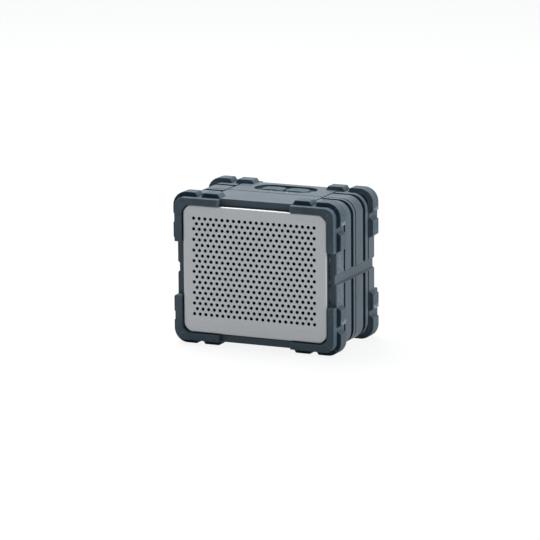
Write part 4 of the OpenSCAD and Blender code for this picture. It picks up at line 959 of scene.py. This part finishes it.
# %% The eight guards are mirrors of one surface
for end, front in (("front", 1), ("rear", -1)):
    for level, above in (("top", 1), ("bottom", -1)):
        for hand, across in (("left", -1), ("right", 1)):
            guard = Skin()
            guard.closed(guard_surface * [across, front, above] + [0, 0, MID_Z])
            guard.piece(f"{end}_{level}_{hand}_guard", guard_rubber, "case", "guard_rubber",
                        f"{end}_guard_{level}_{hand}", marks={"painted_shade": block_fronts, "scuff_and_highlight": guard_light_lines})

# %% [markdown]
# ## Grille
# The grille is painted sheet with 409 punched holes in rows that step by half a pitch, and an
# edge bent back into the case. An array of hole cutters would be slow and would leave ragged
# faces. Here the front and the back of the sheet are flat fills between loops, and each hole is
# a short tube of three bands whose first band is the soft rim of the paint.

# %% Sizes and holes of the grille
GRILLE, GRILLE_Z = (62.6, 51.9, 7.5), MID_Z + 0.4
GRILLE_FRONT, GRILLE_BACK, GRILLE_SEAT = -42.4, -41.4, -36.1
PITCH, HOLE_R, ROWS, COLUMNS = 5.0, 1.38, 19, 22
FIELD_X, FIELD_Z = -0.5, MID_Z + 2.6
row, column = np.divmod(np.arange(ROWS * COLUMNS), COLUMNS)
inside = column < COLUMNS - row % 2
hole_x = (column - (COLUMNS - 1) / 2 + (row % 2) / 2) * PITCH + FIELD_X
hole_z = (row - (ROWS - 1) / 2) * PITCH * math.sqrt(3) / 2 + FIELD_Z
holes = np.stack([hole_x, hole_z], 1)[inside]
print("holes in the grille:", len(holes))

# %% Sheet with its bent edge
BEND, SHEET, EDGE_ROW, BACK_ROW = 1.4, 1.0, -39.0, -41.0
HOLE_RIM = [(0.08, 0.0), (0.02, 0.04), (0.0, 0.1), (0.0, SHEET)]
grille_loop = Loop(np.linspace(-1, 1, 25), np.linspace(-1, 1, 21), 8)
edge_line = [(-inset, GRILLE_FRONT + drop) for inset, drop in quarter_round(BEND, 7)]
edge_line += [(0.0, EDGE_ROW), (0.0, GRILLE_SEAT), (-SHEET, GRILLE_SEAT), (-SHEET, BACK_ROW),
              (-BEND, GRILLE_BACK)]
edge_rings = [facing_y(grille_loop.at(*GRILLE, grow) + [0, GRILLE_Z], y) for grow, y in edge_line]
one_hole = np.stack([facing_y(circle((0, 0), HOLE_R + wider, 16), GRILLE_FRONT + behind)
                     for wider, behind in HOLE_RIM])
hole_tubes = one_hole + facing_y(holes, 0.0)[:, None, None, :]
sheet = Skin()
sheet.grid(np.stack(edge_rings))
for hole in hole_tubes:
    sheet.grid(hole)
for end, y in ((0, GRILLE_FRONT), (-1, GRILLE_BACK)):
    sheet.fill([edge_rings[end][:, [0, 2]]] + list(hole_tubes[:, end][..., [0, 2]]), y)
print("points of the sheet:", sheet.count)

# %% Marks of the grille
BEND_EASE, BORE_FROM, GAP_FROM, GAP_TO = (0.1, 0.6), 0.06, 0.5, 1.0
SHADE_PUSHED_BACK, SHADE_PUSH_X, SHADE_PUSH_SPREAD, RIGHT_EDGE_SHADE = 2.4, -1, 18, 0.9
SCUFFED_TOP, SCUFFED_HALF, SCUFFED_FROM, SCUFFED_FULL = 0.1, 31, GRILLE[1] - 1.5, GRILLE[1] - 0.7


def on_bend(points):
    """1 on the bent edge of the sheet, 0 on its face and in the holes."""
    past = np.abs(points[:, [0, 2]] - [0, GRILLE_Z]) - np.array(GRILLE[:2]) + BEND
    return ease(past.max(axis=1), *BEND_EASE)


def in_bore(points):
    """Painted shade: 1 inside the holes, behind the sheet and down its bent edge in the gap to the rim.

    The right side of the edge gets less of it, and in the middle of its top it starts further back.
    """
    x, y, z = points.T
    in_hole = (y > GRILLE_FRONT + BORE_FROM) & (on_bend(points) < HAIR)
    # In the middle of the top edge the painted shade in the gap starts further back.
    shade_push = SHADE_PUSHED_BACK * np.exp(-((x - SHADE_PUSH_X) / SHADE_PUSH_SPREAD) ** 2)
    rubbed = np.where(z > GRILLE_Z + GRILLE[1] - BEND, shade_push, 0.0)
    in_gap = ease(y - rubbed, GRILLE_FRONT + GAP_FROM, GRILLE_FRONT + GAP_TO)
    return np.maximum(in_hole, np.where(x > GRILLE[0] - BEND, RIGHT_EDGE_SHADE, 1.0) * in_gap)


def scuffed_bend(points):
    """Part scuffed on the top of the bent edge, between the guards."""
    near_top = ease(points[:, 2] - GRILLE_Z, SCUFFED_FROM, SCUFFED_FULL)
    return SCUFFED_TOP * near_top * (np.abs(points[:, 0]) < SCUFFED_HALF)


sheet.piece("punched_grille", grille_paint, "case", "grille_paint", "grille",
            marks={"edge": on_bend, "painted_shade": in_bore, "scuff_and_highlight": scuffed_bend})

# %% [markdown]
# ## Keys
# Two soft keys sit side by side in the recess. A key is a stack of rings: a crowned top that
# falls off like a ball of 100 mm, a rounded shoulder, straight walls, a flange under the recess
# floor and a stem over its switch. All rings share their stations, so one grid joins them.

# %% Key rings
CROWN, SHOULDER, FLANGE_TOP, FLANGE_UNDER, STEM_END = 100.0, 1.0, 115.0, 113.8, 112.4
FLANGE, STEM = (10.3, 8.5, 1.0), (2.6, 2.6, 2.6 - HAIR)
TOP_SHARES = (0.06, 0.25, 0.45, 0.62, 0.75)
WALL_SHADE, WALL_FROM, WALL_FULL = 0.85, 1.0, 2.0


def crowned(flat):
    """Top of a key: a ball's cap, TOP - (R - sqrt(R^2 - distance^2))."""
    return TOP - CROWN + np.sqrt(CROWN ** 2 - (flat ** 2).sum(-1))


def key_surface():
    """Rings from the middle of the top, over the shoulder, down the wall and round the flange to the stem."""
    key = (*KEY_HALF, KEY_R)
    rounded = [(key_loop.at(*key, -SHOULDER) * share, 0.0) for share in TOP_SHARES]
    rounded += [(key_loop.at(*key, -inset), drop) for inset, drop in quarter_round(SHOULDER, 7)]
    rings = [facing_z(flat, crowned(flat) - drop) for flat, drop in rounded]
    flange, stem = [key_loop.at(*size) + [0, SWITCH_Y - KEY_Y] for size in (FLANGE, STEM)]
    for ring, level in ((key_loop.at(*key), FLANGE_TOP), (flange, FLANGE_TOP), (flange, FLANGE_UNDER),
                        (stem, FLANGE_UNDER), (stem, STEM_END)):
        rings.append(facing_z(ring, level))
    return np.stack(rings)


def key_walls(points):
    """0 on the top of a key, rising down its shoulder to the wall: painted shade in the recess."""
    return WALL_SHADE * ease(TOP - points[:, 2], WALL_FROM, WALL_FULL)


for hand, sx in (("left", -1), ("right", 1)):
    key = Skin()
    key.closed(key_surface() + [sx * KEY_X, KEY_Y, 0])
    key.piece(f"{hand}_top_key", guard_rubber, f"{hand}_key", "guard_rubber", f"{hand}_key",
              marks={"painted_shade": key_walls})

# %% [markdown]
# ## Rear panel and port flap
# The photograph does not show the rear, so it is kept plain: a panel that mirrors the grille, six
# screws and a hinged flap over the sockets. The panel could be a box with cuts. Here it is a set of
# rings and flat fills again: the rounded edge, the flap's recess with its hinge trough, the bay with
# the socket holes, and the housing behind it.

# %% Sizes of the rear panel
PANEL, PANEL_INSIDE, PANEL_ROUND = (62.6, 52.0, 7.5), (60.1, 49.5, 6.0), 1.0
PANEL_FACE, PANEL_INNER, PANEL_SEAT, HOUSING_BACK = 40.4, 37.4, 32.1, 31.4
RECESS_HALF, RECESS_LOW, RECESS_STEP, RECESS_HIGH, RECESS_EDGE = 32.4, 29.6, 34.4, 53.4, 0.4
TROUGH_FLOOR, FLAP_SEAT, BAY_FLOOR, PORT_Z = 36.0, 37.7, 33.4, 43.0
BAY, HOUSING, JACK_R = (28.0, 7.0, 1.0), (36.0, 27.6, 55.4), 3.1
CHARGING, CHARGING_X, SWITCH, SWITCH_X = (4.7, 1.9, 1.2), -16.0, (3.35, 1.6, 0.2), 17.5
HEAD_R, HEAD_FLOOR, STANDOFF_R, STANDOFF_END, PANEL_OVERLAP = 2.75, PANEL_FACE - 1.8, 3.0, 27.6, 0.2
STANDOFFS = [(sx * 43.0, z) for sx in (-1, 1) for z in (40.0, 84.0)]
panel_loop = Loop(np.linspace(-1, 1, 13), np.linspace(-1, 1, 11), 10)


def rectangle(half, low, high):
    """Ring of four corners in an XZ drawing."""
    return np.array([(-half, low), (half, low), (half, high), (-half, high)])


def recess_ring(grow):
    """Ring of the flap's recess, with two points at each end of the step between trough and seat."""
    half, low, high = RECESS_HALF + grow, RECESS_LOW - grow, RECESS_HIGH + grow
    return np.array([(-half, low), (half, low), (half, RECESS_STEP), (half, RECESS_STEP), (half, high),
                     (-half, high), (-half, RECESS_STEP), (-half, RECESS_STEP)])


bay = small_loop.at(*BAY) + [0.0, PORT_Z]
ports = [small_loop.at(*CHARGING) + [CHARGING_X, PORT_Z], circle((0.0, PORT_Z), JACK_R, 24),
         small_loop.at(*SWITCH) + [SWITCH_X, PORT_Z]]
housing = rectangle(*HOUSING)
heads = [circle((x, z + MID_Z), HEAD_R, 20) for x, z in LEDGE_SCREWS]
print("ports:", len(ports), "screws:", len(heads))

# %% Build the rear panel
panel_line = [(-inset, PANEL_FACE - drop) for inset, drop in quarter_round(PANEL_ROUND, 6)]
panel_line += [(0.0, PANEL_SEAT)]
panel_rings = [facing_y(panel_loop.at(*PANEL, grow) + [0, MID_Z], y) for grow, y in panel_line]
panel_rings += [facing_y(panel_loop.at(*PANEL_INSIDE) + [0, MID_Z], y) for y in (PANEL_SEAT, PANEL_INNER)]
recess_depths = np.array([TROUGH_FLOOR] * 3 + [FLAP_SEAT] * 4 + [TROUGH_FLOOR])
recess_line = [(RECESS_EDGE, PANEL_FACE), (0.12, PANEL_FACE - 0.12), (0.0, PANEL_FACE - RECESS_EDGE),
               (0.0, recess_depths)]
recess_outline = recess_ring(RECESS_EDGE)[[0, 1, 2, 4, 5, 6]]
panel = Skin()
panel.grid(np.stack(panel_rings))
panel.grid(np.stack([facing_y(recess_ring(grow), y) for grow, y in recess_line]))
panel.fill([panel_rings[0][:, [0, 2]], recess_outline] + heads, PANEL_FACE)
panel.cap(facing_y(rectangle(RECESS_HALF, RECESS_LOW, RECESS_STEP), TROUGH_FLOOR))
panel.cap(facing_z(rectangle(RECESS_HALF, TROUGH_FLOOR, FLAP_SEAT), RECESS_STEP))
panel.fill([rectangle(RECESS_HALF, RECESS_STEP, RECESS_HIGH), bay], FLAP_SEAT)
panel.fill([bay] + ports, BAY_FLOOR)
panel.fill([housing] + ports, HOUSING_BACK)
panel.fill([panel_rings[-1][:, [0, 2]], housing], PANEL_INNER)
walls = [(bay, FLAP_SEAT, BAY_FLOOR), (housing, HOUSING_BACK, PANEL_INNER)]
walls += [(port, BAY_FLOOR, HOUSING_BACK) for port in ports]
walls += [(head, PANEL_FACE, HEAD_FLOOR) for head in heads]
for wall in walls:
    panel.tube(*wall)
for head in heads:
    panel.cap(facing_y(head, HEAD_FLOOR))
for x, z in LEDGE_SCREWS:
    panel.post((x, z + MID_Z), LEDGE_POST_R, PANEL_SEAT, PANEL_INNER + PANEL_OVERLAP)
for place in STANDOFFS:
    panel.post(place, STANDOFF_R, STANDOFF_END, PANEL_INNER + PANEL_OVERLAP)
panel.piece("rear_cover_panel", case_rubber, "case", "case_rubber", "rear_panel")

# %% Port flap: one section along X, with a finger notch in its upper edge
FLAP_HALF, FLAP_IN, FLAP_TOP, HINGE = 32.0, 38.0, 53.0, (38.4, 32.0)
KNUCKLE, KNUCKLE_TURN, PIN_BORE, FLAP_ROUND, GRIP_R, GRIP_DROP = 2.0, 258.5, 1.06, 0.4, 6.0, 1.5


def flap_section(x):
    """Section (y, z) at one place along X: knuckle, inner face, top edge, finger notch and outer face."""
    left = max(FLAP_ROUND - (FLAP_HALF - abs(x)), 0.0)
    inset = FLAP_ROUND - math.sqrt(FLAP_ROUND ** 2 - left ** 2)
    notch = max(GRIP_DROP - GRIP_R + math.sqrt(max(GRIP_R ** 2 - x * x, 0.0)), 0.0)
    outer, top = PANEL_FACE - inset, FLAP_TOP - inset
    turn = -np.linspace(0, math.radians(KNUCKLE_TURN), 24)
    knuckle = np.array(HINGE) + (KNUCKLE - inset) * np.stack([np.cos(turn), np.sin(turn)], 1)
    edge = [(FLAP_IN, top - 0.3), (FLAP_IN + 0.1, top - 0.1), (FLAP_IN + 0.3, top), (outer - 1.0, top),
            (outer - 1.0, top - notch), (outer - 0.4, top - notch), (outer - 0.12, top - notch - 0.12),
            (outer, top - notch - 0.4)]
    return np.concatenate([knuckle, edge])


from_flap_end = np.array([0.0, 0.04, 0.12, 0.25, 0.4])
flap_places = np.concatenate([from_flap_end - FLAP_HALF, [-20, -10], np.linspace(-4, 4, 17), [10, 20],
                              FLAP_HALF - from_flap_end[::-1]])
flap_sections = np.stack([flap_section(x) for x in flap_places])
bore = circle(HINGE, PIN_BORE, 20)
flap = Skin()
flap.grid(facing_x(flap_sections, flap_places[:, None]))
for x, ring in ((-FLAP_HALF, flap_sections[0]), (FLAP_HALF, flap_sections[-1])):
    flap.fill([ring, bore], x, lift=facing_x)
flap.tube(bore, -FLAP_HALF, FLAP_HALF, lift=facing_x)
flap.piece("rear_port_flap", guard_rubber, "port_flap", "guard_rubber", "port_flap")

# %% [markdown]
# ## Finishes of the pieces inside
# The solids that stay as they are still need a finish each. They use the same effects, and three of
# them get a pattern: the weave of the cloth, the turns of the coils and the tracks of the boards.

# %% Patterns
WAVE, THREAD, WIRE = 0.314, 0.0008, 0.0004
TRACK_SCALE, TRACK_COLOUR = 260.0, (0.05, 0.22, 0.1, 1.0)


def bands(tree, where, axis, period):
    """Fine bands across one axis, as a wave between 0 and 1 with a period in metres."""
    return link_nodes(tree, "ShaderNodeTexWave", {"Vector": where, "Scale": WAVE / period},
                      bands_direction=axis).outputs["Fac"]


def shaded_by(tree, colour, pattern, darkest):
    """Colour times a pattern that runs from a darkest share to 1, and the pattern as relief."""
    return blend(tree, 1.0, colour, to_range(tree, pattern, UNIT_RANGE, (darkest, 1.0)), "MULTIPLY"), pattern


def weave(tree, where, colour):
    """Threads both ways: the product of two sets of bands, as shade and as relief."""
    both = calculate(tree, "MULTIPLY", *[bands(tree, where, axis, THREAD) for axis in "XZ"])
    return shaded_by(tree, colour, both, 0.3)


def winding(tree, where, colour):
    """Turns of wire: bands along the axis of the coil."""
    return shaded_by(tree, colour, bands(tree, where, "Y", WIRE), 0.45)


def tracks(tree, where, colour):
    """Tracks under the green coat: the borders of scattered cells, a little lighter."""
    cells = link_nodes(tree, "ShaderNodeTexVoronoi", {"Vector": where, "Scale": TRACK_SCALE},
                       feature="DISTANCE_TO_EDGE", distance="EUCLIDEAN").outputs["Distance"]
    line = to_range(tree, cells, (0.03, 0.07), (1.0, 0.0))
    return blend(tree, line, colour, TRACK_COLOUR), line


print("threads every", THREAD / MM, "mm, wire every", WIRE / MM, "mm")

# %% One finish for each slot of the record
METAL = {"Metallic": 1.0}
finishes = {"case_rubber": case_rubber, "guard_rubber": guard_rubber, "grille_paint": grille_paint}
INSIDE = {  # colour, colour where rubbed, roughness and what else differs
    "black_plastic": ((0.016, 0.016, 0.018), (0.08, 0.08, 0.085), 0.5, {}),
    "cloth": ((0.004, 0.004, 0.004), (0.02, 0.02, 0.02), 0.9,
              {"paint": weave, "constants": {"Specular IOR Level": 0.05}}),
    "gasket_rubber": ((0.012, 0.012, 0.013), (0.05, 0.05, 0.055), 0.65, {"bump": 0.15}),
    "cone_paper": ((0.03, 0.03, 0.032), (0.09, 0.09, 0.095), 0.8, {"grain_scale": 500.0, "bump": 0.3}),
    "steel": ((0.5, 0.51, 0.53), (0.7, 0.71, 0.73), 0.34, {"stretch": (1.0, 1.0, 12.0), "constants": METAL}),
    "copper": ((0.6, 0.3, 0.16), (0.8, 0.5, 0.3), 0.35, {"paint": winding, "constants": METAL}),
    "tin_plate": ((0.62, 0.63, 0.65), (0.8, 0.8, 0.82), 0.28, {"constants": METAL}),
    "board_laminate": ((0.015, 0.11, 0.05), (0.1, 0.3, 0.16), 0.35, {"paint": tracks}),
    "lead_sleeve": ((0.3, 0.02, 0.02), (0.5, 0.1, 0.1), 0.4, {}),
    "capacitor_sleeve": ((0.02, 0.025, 0.05), (0.2, 0.2, 0.25), 0.3, {}),
    "cell_wrap": ((0.03, 0.12, 0.3), (0.2, 0.3, 0.5), 0.32, {}),
    "light_guide": ((0.36, 0.38, 0.39), (0.6, 0.6, 0.6), 0.25, {})}
for name, (colour, worn, roughness, more) in INSIDE.items():
    finishes[name] = finish(name, colour, worn, roughness, **more)
for part in frame["record"]["subparts"]:
    for slot in frame["nodes"][part["node"]].material_slots:
        slot.material = finishes[part["material_slot"]]
print("finishes:", len(finishes))

# %% [markdown]
# ## Floor and light
# The photograph has a white surround. A pale floor catches the shadow, and for the camera and for
# reflections it gets a little light of its own, so that it reads as white without more light on the
# object. A large soft lamp stands above, behind at the left, and a weaker one at the right. The
# light of the surround itself is slightly cool.

# %% Floor
FLOOR_HALF, FLOOR_ROUGHNESS, WHITE = 12.0, 0.9, (1.0, 1.0, 1.0, 1.0)
FLOOR_TONE, FLOOR_SEEN_TONE, FLOOR_OWN_LIGHT = 0.5, 0.12, 0.88
floor_mesh = bpy.data.meshes.new("floor")
floor_mesh.from_pydata((facing_z(rectangle(1, -1, 1), 0) * FLOOR_HALF).tolist(), [], [(0, 1, 2, 3)])
show("floor", floor_mesh)
pale, pale_tree, pale_shader = new_material("pale_floor", {
    "Roughness": FLOOR_ROUGHNESS, "Specular IOR Level": 0.0, "Emission Color": WHITE})


def seen_rays(tree):
    """1 for rays from the camera, for reflections and for what is seen through glass, else 0."""
    path = tree.nodes.new("ShaderNodeLightPath").outputs
    first = calculate(tree, "MAXIMUM", path["Is Camera Ray"], path["Is Glossy Ray"])
    return calculate(tree, "MAXIMUM", first, path["Is Transmission Ray"])


seen_floor = seen_rays(pale_tree)
own_light = calculate(pale_tree, "MULTIPLY", seen_floor, FLOOR_OWN_LIGHT)
floor_tone = to_range(pale_tree, seen_floor, UNIT_RANGE, (FLOOR_TONE, FLOOR_SEEN_TONE))
pale_tree.links.new(own_light, pale_shader.inputs["Emission Strength"])
pale_tree.links.new(floor_tone, pale_shader.inputs["Base Color"])
floor_mesh.materials.append(pale)
print("floor:", 2 * FLOOR_HALF, "m square")

# %% Surround and lamps
SURROUND, COOL = 0.22, (0.84, 1.0, 1.14, 1.0)
LOOKED_AT = Vector((0, 0, 0.06))
LAMPS = {"lamp_above": ((-0.6, 0.5, 1.6), 1.2, 41.0), "lamp_right": ((1.8, 0.3, 0.6), 1.0, 21.0)}
world = bpy.data.worlds.new("white_surround")
bpy.context.scene.world = world
world.use_nodes = True
sky = world.node_tree.nodes["Background"]
seen_sky = seen_rays(world.node_tree)
sky_colour = blend(world.node_tree, seen_sky, COOL, WHITE)
sky_strength = to_range(world.node_tree, seen_sky, UNIT_RANGE, (SURROUND, 1.0))
world.node_tree.links.new(sky_colour, sky.inputs["Color"])
world.node_tree.links.new(sky_strength, sky.inputs["Strength"])


def soft_lamp(name, place, size, power):
    """Square area lamp that looks at the middle of the speaker."""
    light = bpy.data.lights.new(name, "AREA")
    light.size = size
    light.energy = power
    lamp = show(name, light)
    lamp.location = place
    lamp.rotation_euler = (LOOKED_AT - Vector(place)).to_track_quat("-Z", "Y").to_euler()


for name, (place, size, power) in LAMPS.items():
    soft_lamp(name, place, size, power)
bpy.context.scene.view_settings.view_transform = "Standard"
print("lamps:", len(LAMPS))
